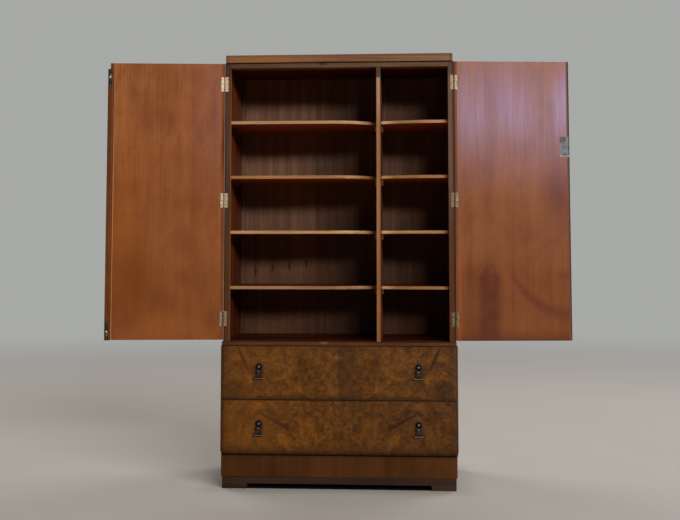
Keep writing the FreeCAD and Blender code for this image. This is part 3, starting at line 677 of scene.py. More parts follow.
def drawer_front(name, shift, line, seam_dark, hem, golden_end, right_dark, handle_level):
    """A finish for one drawer front: its own leaves, figure line and seam."""
    low, high = low_and_high(name, Z)
    half = (drawer_right - drawer_left) / 2
    material, shader, here = finish_named(name + "_burr", gloss=0.14)
    right_of_seam = here.x - middle
    from_seam = abs(right_of_seam)
    up = here.z
    veneer = vector_of(from_seam, up)
    leaf = moved(veneer, (shift, 2 * shift, 0.3 * shift))
    colour, relief = burr(leaf)
    stroke = figure_line(veneer, *line, LINE_WIDTH)
    beside = rise(right_of_seam, -0.001, 0.001) * fall(right_of_seam, 0.03, 0.11)
    sunned = fall(right_of_seam, -0.34, -0.12)
    shaded = rise(right_of_seam, 0.02, 0.12)
    ends = rise(from_seam, half - 0.05, half, 0.5)
    ragged = swing(noise(leaf, scale=18.0, detail=4.0), 0.06)
    below = fall(up + ragged, low, low + hem, 0.75)
    above = rise(up, high - 0.005, high - 0.001, 0.85)
    # Round each handle the veneer is darkened, partly by dirt and partly by a painted shadow of the handle.
    marked_area = spot(from_seam, up, (HANDLE_OUT, handle_level), (0.030, 0.050), soft=0.8)
    wear_and_shadow = largest(ends, below, above, marked_area * 0.8)
    colour = over(colour, (stroke * 0.9, BURR_EYE), (beside * seam_dark, srgb(44, 27, 12)),
                  (sunned * golden_end, srgb(116, 72, 24)), (shaded * right_dark, BURR[0]),
                  (wear_and_shadow, srgb(40, 22, 9)))
    rough = spread(noise(leaf, scale=7.0, detail=3.0), 0.3, 0.7, 0.34, 0.48)
    wire_up(shader, colour, rough, bump(relief, VENEER_RELIEF))
    paint(material, name)


drawer_front("upper_drawer_front", shift=0.7, line=((0.390, 0.538), (0.348, 0.456)), seam_dark=0.55,
             hem=0.020, golden_end=0.2, right_dark=0.05, handle_level=0.446)
drawer_front("lower_drawer_front", shift=2.9, line=((0.300, 0.286), (0.198, 0.232)), seam_dark=0.15,
             hem=0.052, golden_end=0.3, right_dark=0.25, handle_level=0.230)

# %% [markdown]
# ## Doors
#
# The doors stand open, so the camera sees their plain inner faces: warm straight-grained veneer, rubbed and
# marked by use. Their outer faces are burr, like the drawers. Places are measured from the hinge along the
# door, so one function serves both doors, and how deep a place lies in the thickness says which face it is
# on.

# %% Door panels
DOOR = (srgb(110, 61, 26), srgb(134, 81, 40), srgb(147, 94, 52))
DOOR_MARK = srgb(86, 40, 20)


def on_door(here, hinge):
    """Places on a door: out from the hinge, into the thickness, and up from the floor."""
    local = measured_from(here, (hinge.x, hinge.y, 0.0), door_turn)
    return abs(local.x), local.y, local.z


def door_panel(name, hinge, shift, marks, gloss, roughness, gloss_tint=WHITE):
    """A finish for a door panel: burr outside, and marks inside, which may follow the grain's slow drift."""
    material, shader, here = finish_named(name + "_veneer", gloss, gloss_tint)
    out, depth, up = on_door(here, hinge)
    board = vector_of(out + shift, 0.0, up)
    inside, relief, slow = grain(board, DOOR, streaks=0.66, drift=0.9, pores=0.5)
    cloud = noise(stretched(board, (15.0, 1.0, 7.0)), detail=4.0, twist=0.6)
    # Lower down the inner face is painted darker and more orange: painted shade, for light that falls off
    # towards the floor.
    lower = fall(up, door_bottom, door_top, 0.55)
    inside = over(inside, (rise(cloud, 0.48, 0.72, 0.35), DOOR_MARK), (lower, srgb(106, 54, 10)))
    inside = marks(out, up, slow, inside)
    outside = burr(vector_of(out, up, shift))[0]
    outer = rise(depth, 0.4 * DOOR_THICKNESS, 0.6 * DOOR_THICKNESS)
    rough = spread(slow, 0.3, 0.7, roughness - 0.05, roughness + 0.05)
    wire_up(shader, mixed(outer, inside, outside), rough, bump(relief, VENEER_RELIEF))
    paint(material, name)


print("door panels ready")

# %% Left door
LEFT_PATCHES = (((0.305, 1.44), (0.060, 0.14), 0.45), ((0.042, 1.43), (0.045, 0.16), 0.55),
                ((0.250, 0.725), (0.080, 0.09), 0.40), ((0.049, 0.645), (0.045, 0.08), 0.50),
                ((0.157, 0.95), (0.075, 0.09), 0.35), ((0.157, 0.80), (0.050, 0.06), 0.40),
                ((0.373, 0.63), (0.080, 0.07), 0.45), ((0.070, 1.20), (0.090, 0.20), 0.35),
                ((0.090, 0.83), (0.100, 0.16), 0.32))
STRIP_LINE = 0.4335


def left_marks(out, up, slow, colour):
    """Soft red-brown patches where polish has gone, a pinkish painted sheen high up by the hinge, and a band
    along the strip that ends in a painted highlight.
    """
    for centre, half, strength in LEFT_PATCHES:
        patch = spot(out, up, centre, half) * spread(slow, 0.3, 0.6, 0.5, 1.0)
        colour = mixed(patch * strength, colour, DOOR_MARK)
    streak = noise(vector_of(out * 60.0, up * 2.0), detail=3.0)
    # Pinkish high up by the hinge: a painted sheen, the reflection of light in the polish.
    pink_sheen = rise(up, 1.05, 1.40, 0.7) * fall(out, 0.0, 0.20) * spread(streak, 0.4, 0.6, 0.2, 0.8)
    golden = spot(out, up, (0.39, 1.05), (0.12, 0.40)) * 0.4
    brown = spot(out, up, (0.35, 0.80), (0.16, 0.24)) * 0.75
    lightened = spot(out, up, (0.23, 0.60), (0.24, 0.09)) * 0.25
    band = rise(out, STRIP_LINE, STRIP_LINE + 0.002, 0.7)
    # A light line at the band's edge: a painted highlight, standing for the lit side face of the strip.
    line = fall(abs(out - STRIP_LINE), 0.0004, 0.0018) * spread(up, 1.45, 1.15, 0.2, 0.55)
    return over(colour, (pink_sheen, srgb(130, 83, 82)), (golden, srgb(136, 80, 24)), (brown, srgb(102, 52, 3)),
                (lightened, srgb(148, 94, 48)), (band, srgb(98, 52, 21)), (line, srgb(206, 156, 112)))


door_panel("left_door_panel", left_hinge, shift=1.4, marks=left_marks, gloss=0.15, roughness=0.5)

# %% Right door
SCUFF_CENTRE = (0.457, 0.917)
SCUFF_RADIUS = 0.254
HANDLED_TOP = 0.845
LILAC_SHEEN_SPOTS = (((0.425, 1.46), (0.06, 0.18), 0.9, 0.65), ((0.08, 1.42), (0.09, 0.15), 1.0, 0.32),
               ((0.24, 1.44), (0.11, 0.15), 1.0, 0.35))


def with_bloom_and_sheen(out, up, colour):
    """A streaky grey blooming of the polish near the top, with a few pale violet spots in it, partly a
    painted sheen: the reflection of the window lamps in the polish.
    """
    broad_streak = noise(vector_of(out * 32.0, up * 1.5), detail=3.0)
    fine_streak = noise(vector_of(out * 150.0, up * 4.0), detail=3.0)
    streak = broad_streak * 0.65 + fine_streak * 0.35
    # Grey near the top and violet spots: partly real blooming of the polish, partly a painted sheen.
    height = rise(up, 1.08, 1.46) * spread(up, 1.52, 1.66, 1.0, 0.45)
    bloom_and_sheen = height * spread(streak, 0.35, 0.65, 0.38, 0.74)
    first, *others = [spot(out, up, centre, half, soft) * share
                      for centre, half, soft, share in LILAC_SHEEN_SPOTS]
    lilac_sheen = sum(others, first) * spread(streak, 0.36, 0.60, 0.4, 1.0)
    return over(colour, (bloom_and_sheen, srgb(136, 116, 138)), (lilac_sheen, srgb(154, 138, 182)))


def right_marks(out, up, slow, colour):
    """Dark handling marks low by the hinge, a curved scuff, a stained band along the lower edge with a
    painted shadow on its lowest millimetres, and a blooming of the polish at the top that is partly a painted
    sheen.
    """
    colour = dimmed(colour, spread(up, 0.95, 1.35, 0.84, 1.0))
    lumps = noise(vector_of(out * 20.0, up * 14.0), detail=4.0)
    below_top = rise(HANDLED_TOP + swing(lumps, 0.16) - up, -0.04, 0.06)
    darkest = rise(out, 0.06, 0.11) * fall(out, 0.15, 0.20) * 0.95
    beside = rise(out, 0.0, 0.06) * fall(out, 0.09, 0.13) * 0.40
    marked_area = largest(darkest, beside) * below_top * spread(lumps, 0.3, 0.6, 0.75, 1.0)
    from_ring = abs(hypotenuse(out - SCUFF_CENTRE[0], up - SCUFF_CENTRE[1]) - SCUFF_RADIUS)
    ring = fall(from_ring / spread(out, 0.20, 0.44, 0.020, 0.048), 0.0, 1.0, 0.62)
    scuff = ring * fall(up, 0.75, 0.87)
    smear = spot(out, up, (0.425, 0.815), (0.06, 0.035)) * 0.4
    shaded = spot(out, up, (0.40, 1.14), (0.09, 0.28)) * 0.65
    hem = fall(up + swing(lumps, 0.04), door_bottom, door_bottom + 0.05, 0.7)
    # The lowest few millimetres are painted dark: a painted shadow along the door's lower edge.
    painted_foot_shadow = fall(up, door_bottom + 0.002, door_bottom + 0.006, 0.75)
    glowing = fall(out, 0.008, 0.030) * fall(up, 0.8, 1.05) * 0.35
    colour = over(colour, (marked_area, srgb(80, 37, 15)), (scuff, DOOR_MARK), (smear, DOOR_MARK),
                  (shaded, srgb(92, 44, 36)), (hem, DOOR_MARK), (painted_foot_shadow, srgb(56, 34, 24)),
                  (glowing, srgb(168, 84, 34)))
    return with_bloom_and_sheen(out, up, colour)


door_panel("right_door_panel", right_hinge, shift=3.3, marks=right_marks, gloss=0.12, roughness=0.36,
           gloss_tint=(0.75, 0.82, 1.0))

# %% [markdown]
# ## Door edges and closing strip
#
# Lippings cover the edges of the panels, and a strip on the left door's free edge closes the gap between
# the doors. They are solid, redder wood. Hands have darkened the strip's outer edge. The right door's free
# edge is greyer higher up, from blooming and a painted sheen like those on the door's face.

# %% Lippings and strip
LIPPING = (srgb(92, 48, 22), srgb(122, 70, 36), srgb(136, 82, 46))
STRIP = (srgb(74, 38, 6), srgb(97, 51, 12), srgb(112, 64, 20))
DARK_LIPPING = (srgb(84, 48, 32), srgb(110, 67, 46), srgb(128, 85, 62))
strip_left = low_and_high("closing_strip", X)[0]
free_edge = low_and_high("right_door_lippings", X)[1]


def strip_edges(here, colour):
    """Dark with handling on the outer edge."""
    return mixed(fall(here.x, strip_left, strip_left + 0.006, 0.7), colour, srgb(40, 24, 14))


def bloom_and_sheen_edge(here, colour):
    """The right door's free edge is greyer higher up, partly blooming and partly a painted sheen, and dark
    along its arris.
    """
    # Greyer higher up: partly a painted sheen.
    marked_area = rise(here.x, free_edge - 0.030, free_edge - 0.020) * spread(here.z, 0.9, 1.3, 0.45, 0.9)
    arris = rise(here.x, free_edge - 0.0065, free_edge - 0.0015, 0.85)
    return over(colour, (marked_area, srgb(94, 76, 72)), (arris, srgb(52, 38, 32)))


paint(straight_wood("lipping_wood", LIPPING, shift=7.7, gloss=0.02), "left_door_lippings")
paint(straight_wood("dark_lipping", DARK_LIPPING, shift=6.1, gloss=0.02, shade=bloom_and_sheen_edge),
      "right_door_lippings")
paint(straight_wood("strip_wood", STRIP, shift=9.1, gloss=0.15, shade=strip_edges), "closing_strip")

# %% [markdown]
# ## Shelves, divider and floor of the cupboard
#
# The front edges of the shelves and of the divider are bare tan wood, rubbed by everything that was put in.
# Each level of shelves has its own tone. Their faces are dark red-brown. Which is which comes from the way
# the surface faces, because the shelf fronts curve.

# %% Shelf wood
TAN = (srgb(138, 95, 60), srgb(169, 126, 87), srgb(189, 150, 109))
LEVEL_TINTS = ((0.72, 0.73, 0.74), (0.88, 1.02, 0.95), (0.70, 0.66, 0.53), (0.82, 0.92, 1.08))
divider_left, divider_right = low_and_high("divider", X)
divider_middle = (divider_left + divider_right) / 2
divider_half = (divider_right - divider_left) / 2


def frontward(here, low=0.3, high=0.5):
    """1 on faces that look to the front, eased to 0 as they turn away."""
    return rise(facing(here).y * -1.0, low, high)


def red_faces(here, colour, tint):
    """Tan where the surface faces the front, paler beside the divider as painted light, red-brown elsewhere,
    and orange underneath as painted bounce light.
    """
    # Paler beside the divider: painted light that lifts the divider's shadow.
    beside = fall(abs(here.x - divider_middle), 0.02, 0.07, 0.8)
    edge = dimmed(mixed(beside, colour, srgb(232, 182, 130)), tint)
    # Orange on faces that look down: painted bounce light.
    red = mixed(underside(here), grain(here, INNER_RED, along="x")[0], srgb(152, 77, 23))
    return mixed(frontward(here), red, edge)


shelf_names = []
for level, tint in enumerate(LEVEL_TINTS, start=1):
    pair = [f"left_shelf_{level}", f"right_shelf_{level}"]
    tinted = functools.partial(red_faces, tint=tint)
    paint(straight_wood(f"shelf_wood_{level}", TAN, along="x", shift=2.4 * level, shade=tinted), *pair)
    shelf_names += pair

# %% Divider, bearers and cupboard floor
DIVIDER_TINT = (0.88, 0.97, 1.03)
DIVIDER_LOW = (0.74, 0.64, 0.53)
WAIST = (srgb(46, 25, 10), srgb(70, 40, 17), srgb(90, 56, 30))
FLOOR_SHADE = (0.42, 0.22, 0.14)
waist_front = low_and_high("waist_board", Y)[0]
waist_top = low_and_high("waist_board", Z)[1]
divider_top = low_and_high("divider", Z)[1]


def dark_head(here, colour):
    """The divider is stained dark for a few centimetres under the top rail, and dark along its arrises."""
    arris = rise(abs(here.x - divider_middle), divider_half - 0.0030, divider_half - 0.0012, 0.95)
    edge = dimmed(colour, mixed(rise(here.z, 0.83, 1.07), DIVIDER_LOW, DIVIDER_TINT))
    edge = over(edge, (rise(here.z, 1.38, 1.52, 0.5), srgb(166, 134, 114)), (arris, srgb(36, 17, 8)))
    stain = rise(here.z, divider_top - 0.066, divider_top - 0.056, 0.9)
    red = grain(here, INNER_RED)[0]
    return over(red, (frontward(here), edge), (stain, srgb(50, 28, 8)))


def painted_lit_noses(here, colour):
    """The rounded front ends of the divider's bearers are painted pale: a painted light, so that they show in
    the shade of the cupboard.
    """
    return mixed(frontward(here, 0.2, 0.4), colour, srgb(238, 206, 172))


def floor_lit_at_front(here, colour):
    """The cupboard floor is painted lighter at the front and darker further back, a painted light and shade,
    and its edge has one pale patch.
    """
    back = here.y - waist_front
    # The front keeps the board's lighter colour and the back is dimmed: painted light and shade.
    lightened = fall(back, 0.06, 0.11, 0.95)
    shaded = dimmed(grain(here, INNER_RED, along="x")[0], FLOOR_SHADE)
    patch = spot(here.x, here.z, (middle - 0.056, waist_top), (0.020, 0.010), soft=0.25)
    return over(shaded, (lightened, colour), (patch * fall(back, 0.012, 0.02, 0.6), srgb(120, 86, 62)))


paint(straight_wood("divider_wood", TAN, shift=4.4, shade=dark_head), "divider")
paint(straight_wood("wall_bearer_wood", INNER_RED, along="y", shift=6.4, shade=painted_shade_low), "wall_bearers")
paint(straight_wood("bearer_wood", LIPPING, along="y", shift=5.8, shade=painted_lit_noses), "divider_bearers")
paint(straight_wood("waist_wood", WAIST, along="x", shift=8.2, shade=floor_lit_at_front), "waist_board")

# %% [markdown]
# ## Plywood back
#
# The back is rotary-cut plywood with close, upright ribs of grain. Four dark drips ran down it in the
# second compartment from the bottom. Outside it was left unpolished, so it is paler and duller there.

# %% Plywood
PLY = (srgb(68, 42, 28), srgb(104, 72, 53), srgb(130, 96, 74))
PLY_OUTSIDE = (srgb(120, 88, 56), srgb(150, 116, 80), srgb(172, 138, 100))
RIB_STEP = 0.0075
DRIPS = 4
FIRST_DRIP = -0.380
DRIP_STEP = 0.073
LOWEST_DRIP = 0.824
DRIP_CLIMB = 0.010
DRIP_HALF = (0.0065, 0.028)
panel_back = low_and_high("back_panel", Y)[1]


def ribs_and_drips(here, colour):
    """Upright ribs, broad pale bands and dark drips inside, and bare plywood on the back."""
    wander = noise(stretched(here, (30.0, 1.0, 2.0)), detail=2.0)
    wave = maths("SINE", here.x * (math.tau / RIB_STEP) + wander * 9.0)
    broad = noise(stretched(here, (40.0, 1.0, 1.6)), detail=2.0)
    colour = over(colour, (fall(wave, -1.0, 1.0, 0.32), srgb(48, 30, 22)),
                  (rise(broad, 0.5, 0.7, 0.25), srgb(140, 108, 92)))
    for i in range(DRIPS):
        drip_place = (FIRST_DRIP + DRIP_STEP * i, LOWEST_DRIP + DRIP_CLIMB * i)
        drip = spot(here.x, here.z, drip_place, DRIP_HALF, soft=0.8)
        colour = mixed(drip * 0.85, colour, srgb(22, 9, 3))
    outside = rise(here.y, panel_back - 0.003, panel_back - 0.001)
    return mixed(outside, painted_shade_low(here, colour), grain(here, PLY_OUTSIDE)[0])


paint(straight_wood("back_plywood", PLY, shift=8.8, roughness=0.6, shade=ribs_and_drips, streaks=0.5),
      "back_panel")
paint(straight_wood("drawer_plywood", PLY_OUTSIDE, along="x", shift=3.9, roughness=0.6, gloss=0.15),
      "lower_drawer_bottom", "upper_drawer_bottom")

# %% [markdown]
# ## Drawer boxes and hidden boards
#
# Drawer boxes were made of pale, unpolished wood. The grain runs from front to back on the sides, and from
# end to end on the fronts and backs, so that the dovetails show end grain against long grain.

# %% Drawer wood
BOX = (srgb(140, 100, 60), srgb(172, 132, 88), srgb(190, 154, 110))
paint(straight_wood("drawer_side_wood", BOX, along="y", shift=9.3, roughness=0.6, gloss=0.15),
      "lower_drawer_sides", "upper_drawer_sides", "drawer_runners")
paint(straight_wood("drawer_end_wood", BOX, along="x", shift=4.9, roughness=0.6, gloss=0.15),
      "lower_drawer_ends", "upper_drawer_ends", "drawer_rail", "bottom_board")

# %% [markdown]
# ## Plinth, base and feet
#
# The plinth is banded with upright-grained walnut, redder than the drawers and more orange at its right
# end. The base strip and the feet under it were stained nearly black.

# %% Plinth and base
PLINTH = (srgb(46, 23, 4), srgb(64, 35, 8), srgb(78, 44, 12))
BASE = (srgb(32, 18, 8), srgb(44, 26, 14), srgb(56, 37, 23))
plinth_high = low_and_high("plinth_boards", Z)[1]


def plinth_ends(here, colour):
    """More orange at the right end, and darker along the top under the drawer: painted shade."""
    right = rise(here.x, middle + 0.38, middle + 0.46, 0.4)
    # A dark band along the top, under the drawer: painted shade.
    under = rise(here.z, plinth_high - 0.012, plinth_high, 0.5)
    return over(colour, (right, srgb(92, 48, 15)), (under, srgb(36, 19, 9)))


paint(straight_wood("plinth_walnut", PLINTH, shift=2.9, shade=plinth_ends, streaks=0.65), "plinth_boards")
paint(straight_wood("dark_base", BASE, along="x", shift=1.9, roughness=0.55, gloss=0.15),
      "base_frame", "feet")

# %% [markdown]
# ## Metal fittings
#
# Brass, bronze and steel share one recipe: clouds of tarnish over bare metal, with the tarnish duller and
# rougher. The higher hinges stayed brighter, and the left ones more than the right. On the drawers' handles
# only the domes and the fronts of the drops are rubbed bright, so their polish follows the distance from
# the drawer.

# %% Metal recipe
SCRATCHES = (900.0, 900.0, 90.0)
METAL_EDGE_REACH = 0.0006
METAL_RELIEF = 0.00004


def metal(name, bare, tarnished, roughness, clouding, polish=None, dirt_and_light=None, mottle=0.25, wear=0.5,
          edge_tint=WHITE):
    """A finish of metal. polish says how far a place is bare and bright, and dirt_and_light lays on dirt,
    painted shade and painted highlights.
    """
    material, shader, here = finish_named(name, gloss=0.5, gloss_tint=edge_tint, metallic=1.0)
    cloud = noise(here, scale=clouding, detail=5.0, rough=0.6)
    clean = rise(cloud, 0.35, 0.65)
    if polish:
        clean = clean * mottle + polish(here) * (1.0 - mottle)
    scratch = noise(stretched(here, SCRATCHES), detail=2.0)
    edge = worn_edges(here, METAL_EDGE_REACH) * wear
    colour = mixed(largest(clean, edge), tarnished, bare)
    if dirt_and_light:
        colour = dirt_and_light(here, colour)
    rough = spread(clean, 0.0, 1.0, roughness + 0.15, roughness) + swing(scratch, 0.1)
    wire_up(shader, colour, rough, bump(cloud + swing(scratch, 0.3), METAL_RELIEF))
    return material


print("metal recipe ready")

# %% Hinges, lock and bolts
HINGE_LENGTH = 0.057
KNUCKLE_STEP = HINGE_LENGTH / 5
lock_low, lock_high = low_and_high("lock_case", Z)
hinge_middle = (left_hinge.x + right_hinge.x) / 2
hinge_half = (right_hinge.x - left_hinge.x) / 2


def hinge_shade_and_marks(here, colour):
    """Painted shade and highlight: black between the knuckles and along the pin's line, lighter on every
    other knuckle; dirt low on the right; and brown along the leaves' long edges.
    """
    aside = abs(abs(here.x - hinge_middle) - hinge_half)
    turns = maths("COSINE", here.z * (math.tau / KNUCKLE_STEP))
    # Black between the knuckles, lighter on every other one: painted shade and painted highlight.
    black = fall(aside, 0.0015, 0.0034, 0.9) * spread(turns, -0.9, 0.6, 1.0, 0.4)
    dirty = by_side(here, 0.0, 1.0) * fall(here.z, 0.9, 1.5, 0.55)
    margin = rise(aside, 0.0128, 0.0146, 0.85)
    return over(colour, (black, srgb(30, 24, 16)), (dirty, srgb(60, 42, 24)), (margin, srgb(92, 54, 30)))


def high_hinges(here):
    """The higher a hinge, the brighter, and the left ones more than the right."""
    return by_side(here, 1.0, 0.2) * rise(here.z, 0.60, 1.45)


def lock_edge_and_highlight(here, colour):
    """The lock is dark along the door's free edge, and has a painted highlight along its lower rim."""
    dark = rise(here.x, free_edge - 0.008, free_edge - 0.001, 0.75)
    # A light line along the lower rim: a painted highlight.
    rim = fall(here.z, lock_low + 0.002, lock_low + 0.006, 0.8)
    return over(colour, (dark, srgb(44, 42, 44)), (rim, srgb(160, 152, 150)))


paint(metal("hinge_brass", srgb(214, 192, 168), srgb(94, 71, 44), roughness=0.55, clouding=260.0,
            polish=high_hinges, dirt_and_light=hinge_shade_and_marks, mottle=0.5),
      "carcass_hinge_leaves", "left_door_hinge_leaves", "right_door_hinge_leaves", "hinge_pins")
paint(metal("plain_brass", srgb(170, 150, 104), srgb(104, 88, 58), roughness=0.45, clouding=140.0),
      "escutcheon")
paint(metal("lock_steel", srgb(108, 107, 112), srgb(101, 100, 104), roughness=0.68, clouding=40.0,
            dirt_and_light=lock_edge_and_highlight, wear=0.2),
      "lock_case", "lock_bolt")
paint(metal("plate_bronze", srgb(64, 53, 41), srgb(44, 35, 27), roughness=0.5, clouding=60.0), "bolt_plates")
paint(metal("knob_brass", srgb(222, 212, 184), srgb(150, 138, 108), roughness=0.45, clouding=220.0),
      "top_bolt", "bottom_bolt")

# %% Handles
DOME_LEVELS = (0.463, 0.247)
BROWN_EDGE = (0.55, 0.42, 0.30)
drawer_face = low_and_high("upper_drawer_front", Y)[0]


def rubbed_front(here):
    """Bright where a drawer handle stands furthest out."""
    return rise(drawer_face - here.y, 0.0094, 0.0108)


def rubbed_dome(here):
    """Bright where a drawer handle stands out, and only on its dome."""
    from_dome = maths("MINIMUM", *[abs(here.z - level) for level in DOME_LEVELS])
    return rubbed_front(here) * fall(from_dome, 0.008, 0.011)


def drawer_fittings(word):
    """Names of the drawers' nodes that hold a word."""
    return sorted(name for name in nodes if "drawer" in name and word in name)


paint(metal("dome_bronze", srgb(236, 226, 208), srgb(30, 21, 15), roughness=0.32, clouding=220.0,
            polish=rubbed_dome, mottle=0.04, wear=0.12, edge_tint=BROWN_EDGE),
      *drawer_fittings("handle_plate"))
paint(metal("drop_bronze", srgb(112, 95, 84), srgb(22, 16, 13), roughness=0.40, clouding=220.0,
            polish=rubbed_front, mottle=0.15, wear=0.3, edge_tint=BROWN_EDGE),
      *drawer_fittings("_drop"))
paint(metal("door_bronze", srgb(150, 132, 108), srgb(66, 54, 42), roughness=0.34, clouding=220.0),
      "left_door_handle_plate", "right_door_handle_plate", "left_door_drop", "right_door_drop")

# %% [markdown]
# ## Soft edges
#
# No real board has a knife edge: decades of hands and polishing leave a small round that catches the light.
# The CAD meshes are loose triangles, so a Weld modifier joins them before a Bevel rounds the sharp edges.

# %% Bevelled boards
WELD_REACH = 0.00001
EDGE_SEGMENTS = 2
SHARP_ANGLE = math.radians(50)
SHELF_ROUND = 0.0012
LIPPING_ROUND = 0.0005


def soften(width, *names):
    """Round the sharp edges of boards by a small width."""
    for name in names:
        weld = nodes[name].modifiers.new("join", "WELD")
        weld.merge_threshold = WELD_REACH
        edge = nodes[name].modifiers.new("soft_edges", "BEVEL")
        edge.width = width
        edge.segments = EDGE_SEGMENTS
        edge.limit_method = "ANGLE"
        edge.angle_limit = SHARP_ANGLE
    print("softened", len(names), "boards by", width)


soften(SHELF_ROUND, *shelf_names, "divider")
soften(LIPPING_ROUND, "left_door_lippings", "right_door_lippings")

# %% [markdown]
# ## Screws and nails
#
# Three slotted screws hold each hinge leaf, and the lock, the bolts and the keyhole plate have theirs. The
# plywood back is nailed all round. They all repeat, so Geometry Nodes put one head on each point of a list: a
# flat cone, cut across by a slot where it is a screw, turned to face the way that its point says, and spun at
# random. What the tree makes is then copied to a plain mesh that rides on one body.

# %% Tree for heads
HEAD_SIDES = 18
SHOULDER = 0.78
SLOT_REACH = 3.0
SLOT_LIFT = 0.8
SPIN_SEED = 7
# The places of a Random Value node's sockets for plain numbers.
RANDOM_LEAST, RANDOM_MOST, RANDOM_VALUE = 2, 3, 1
HEAD_INPUTS = {"Places": "Geometry", "Radius": "Float", "Height": "Float", "Slot": "Float",
               "Finish": "Material"}


def heads_tree(name, slotted):
    """A tree that puts a screw or nail head on each point of a mesh."""
    tree = bpy.data.node_groups.new(name, "GeometryNodeTree")
    for title, kind in HEAD_INPUTS.items():
        tree.interface.new_socket(title, in_out="INPUT", socket_type="NodeSocket" + kind)
    tree.interface.new_socket("Heads", in_out="OUTPUT", socket_type="NodeSocketGeometry")
    given = {output.name: Signal(output) for output in tree.nodes.new("NodeGroupInput").outputs}
    radius, height = given["Radius"], given["Height"]
    cone = {"Vertices": HEAD_SIDES, "Radius Top": radius * SHOULDER, "Radius Bottom": radius, "Depth": height}
    head = add(tree, "GeometryNodeMeshCone", cone)
    if slotted:
        size = vector_of(radius * SLOT_REACH, given["Slot"], height)
        bar = add(tree, "GeometryNodeMeshCube", {"Size": size})
        lift = vector_of(z=height * SLOT_LIFT)
        raised = add(tree, "GeometryNodeTransform", {"Geometry": bar, "Translation": lift})
        cut = {"Mesh 1": head, "Mesh 2": raised}
        head = add(tree, "GeometryNodeMeshBoolean", cut, operation="DIFFERENCE")
    faces = add(tree, "GeometryNodeInputNamedAttribute", {"Name": "faces"}, data_type="FLOAT_VECTOR")
    upright = add(tree, "FunctionNodeAlignRotationToVector", {"Vector": faces}, axis="Z")
    any_angle = {RANDOM_LEAST: 0.0, RANDOM_MOST: math.tau, "Seed": SPIN_SEED}
    angle = add(tree, "FunctionNodeRandomValue", any_angle, output=RANDOM_VALUE, data_type="FLOAT")
    spin = add(tree, "FunctionNodeAxisAngleToRotation", {"Axis": (0.0, 0.0, 1.0), "Angle": angle})
    turned = add(tree, "FunctionNodeRotateRotation", {"Rotation": upright, "Rotate By": spin},
                 rotation_space="LOCAL")
    heads = add(tree, "GeometryNodeInstanceOnPoints",
                {"Points": given["Places"], "Instance": head, "Rotation": turned})
    real = add(tree, "GeometryNodeRealizeInstances", {"Geometry": heads})
    finished = add(tree, "GeometryNodeSetMaterial", {"Geometry": real, "Material": given["Finish"]})
    finished.into(tree.nodes.new("NodeGroupOutput").inputs["Heads"])
    return tree


screw_tree = heads_tree("screw_heads", slotted=True)
nail_tree = heads_tree("nail_heads", slotted=False)
print("trees for heads:", screw_tree.name, "and", nail_tree.name)


# %% Heads as plain meshes
def fix_heads(name, tree, places, sizes, finish, body):
    """Real heads at places, each a point and the way it faces, riding on a body."""
    points = bpy.data.meshes.new(name + "_places")
    points.from_pydata([point for point, way in places], [], [])
    ways = points.attributes.new("faces", "FLOAT_VECTOR", "POINT")
    ways.data.foreach_set("vector", [value for point, way in places for value in way])
    carrier = new_object(name + "_places", points)
    modifier = carrier.modifiers.new("heads", "NODES")
    modifier.node_group = tree
    values = dict(sizes, Finish=finish)
    for item in tree.interface.items_tree:
        if item.in_out == "INPUT" and item.name in values:
            modifier[item.identifier] = values[item.name]
    evaluated = carrier.evaluated_get(bpy.context.evaluated_depsgraph_get())
    mesh = bpy.data.meshes.new_from_object(evaluated)
    bpy.data.objects.remove(carrier)
    heads = new_object(name, mesh)
    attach(heads, body)
    print(name, "with", len(places), "heads and", len(mesh.polygons), "faces")


print("heads ready to be placed")

# %% Places for the screws
HINGE_ENDS = 0.082
LEAF_MIDDLE = 0.0107
HINGE_LIFT = 0.0005
SCREW_STEP = 0.019
SCREW_STAGGER = 0.0022
DOOR_REACH = 0.4495
LOCK_WIDTH = 0.038
LOCK_SCREW_INSET = 0.007
STRIP_THICKNESS = 0.016
PLATE_LENGTH = 0.073
PLATE_SCREW_INSET = 0.006
FRONT = (0.0, -1.0, 0.0)
hinge_levels = [door_bottom + HINGE_ENDS, (door_bottom + door_top) / 2, door_top - HINGE_ENDS]
screw_levels = [(level + SCREW_STEP * i, SCREW_STAGGER if i else -SCREW_STAGGER)
                for level in hinge_levels for i in (-1, 0, 1)]


def on_panel(hinge, way, out, up, proud):
    """A point on a door's inner face: so far from the hinge, so high, and so far proud of the face."""
    return tuple(Vector((hinge.x, hinge.y, up)) + way * out + door_face * (proud - HINGE_LIFT))


def leaf_screws(hinge, way):
    """The screws in one door's hinge leaves."""
    return [(on_panel(hinge, way, LEAF_MIDDLE + aside, level, 0.0), door_face)
            for level, aside in screw_levels]


carcass_screws = []
for hinge, inward in ((left_hinge, 1.0), (right_hinge, -1.0)):
    for level, aside in screw_levels:
        across = hinge.x + inward * (LEAF_MIDDLE + aside)
        carcass_screws.append(((across, hinge.y + HINGE_LIFT, level), FRONT))

left_screws = leaf_screws(left_hinge, -along_door)
plates_low, plates_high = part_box("bolt_plates")
plate_out = ((plates_low + plates_high) / 2 - left_hinge).dot(-along_door)
for level in (plates_low.z + PLATE_SCREW_INSET, plates_low.z + PLATE_LENGTH - PLATE_SCREW_INSET,
              plates_high.z - PLATE_LENGTH + PLATE_SCREW_INSET, plates_high.z - PLATE_SCREW_INSET):
    left_screws.append((on_panel(left_hinge, -along_door, plate_out, level, STRIP_THICKNESS), door_face))

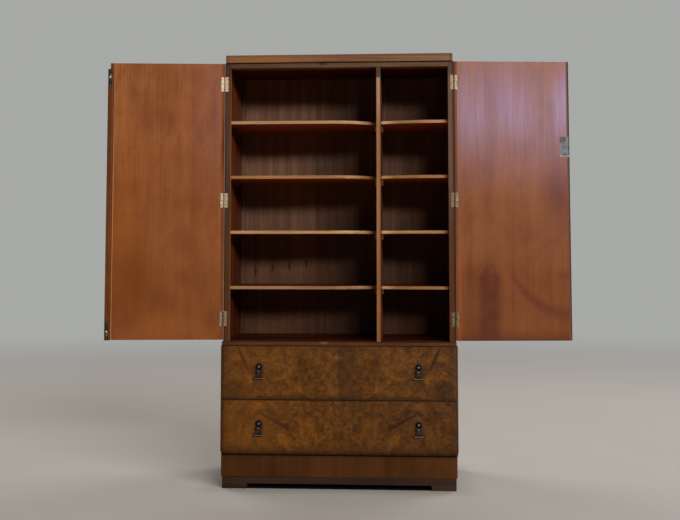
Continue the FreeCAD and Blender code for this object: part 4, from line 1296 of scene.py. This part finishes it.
right_screws = leaf_screws(right_hinge, along_door)
for out in (DOOR_REACH - LOCK_WIDTH + LOCK_SCREW_INSET, DOOR_REACH - LOCK_SCREW_INSET):
    for level in (lock_low + LOCK_SCREW_INSET, lock_high - LOCK_SCREW_INSET):
        right_screws.append((on_panel(right_hinge, along_door, out, level, 0.0), door_face))
print(len(carcass_screws) + len(left_screws) + len(right_screws), "screws")

# %% Places for the pins and nails
KEYHOLE_INSET = 0.022
PIN_STEP = 0.014
ESCUTCHEON_THICKNESS = 0.0015
NAIL_SPACING = 0.11
NAIL_INSET = 0.009
BACK = (0.0, 1.0, 0.0)
keyhole_level = (lock_low + lock_high) / 2
keyhole_out = DOOR_REACH - KEYHOLE_INSET
outer_proud = -(DOOR_THICKNESS + ESCUTCHEON_THICKNESS)
keyhole_pins = [(on_panel(right_hinge, along_door, keyhole_out, level, outer_proud), -door_face)
                for level in (keyhole_level - PIN_STEP, keyhole_level + PIN_STEP)]


def nail_line(low, high):
    """Places along one edge of the back panel, from one inset corner to the other."""
    steps = round((high - low) / NAIL_SPACING)
    return [low + NAIL_INSET + (high - low - 2 * NAIL_INSET) * i / steps for i in range(steps + 1)]


panel_low, panel_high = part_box("back_panel")
columns = nail_line(panel_low.x, panel_high.x)
rows = nail_line(panel_low.z, panel_high.z)
nails = [(x, z) for z in rows for x in (columns[0], columns[-1])]
nails += [(x, z) for x in columns[1:-1] for z in (rows[0], rows[-1])]
back_nails = [((x, panel_high.y, z), BACK) for x, z in nails]
print(len(keyhole_pins), "pins and", len(back_nails), "nails")

# %% Screws and nails in place
SCREW = {"Radius": 0.0023, "Height": 0.0004, "Slot": 0.0007}
NAIL = {"Radius": 0.0022, "Height": 0.0005}
PIN = {"Radius": 0.0011, "Height": 0.0004}
LOCK_SIDE = (0.60, 0.65)


def steel_at_lock(here, colour):
    """The screws at the right door's free edge hold the lock, and are of steel like it."""
    return mixed(rise(here.x, *LOCK_SIDE), colour, srgb(92, 91, 94))


old_brass = metal("screw_brass", srgb(150, 128, 84), srgb(74, 60, 40), roughness=0.45, clouding=300.0,
                  dirt_and_light=steel_at_lock)
iron = metal("nail_iron", srgb(96, 90, 84), srgb(56, 44, 36), roughness=0.55, clouding=400.0)
fix_heads("carcass_screws", screw_tree, carcass_screws, SCREW, old_brass, "carcass")
fix_heads("left_door_screws", screw_tree, left_screws, SCREW, old_brass, "left_door")
fix_heads("right_door_screws", screw_tree, right_screws, SCREW, old_brass, "right_door")
fix_heads("keyhole_pins", nail_tree, keyhole_pins, PIN, old_brass, "right_door")
fix_heads("back_nails", nail_tree, back_nails, NAIL, iron, "carcass")
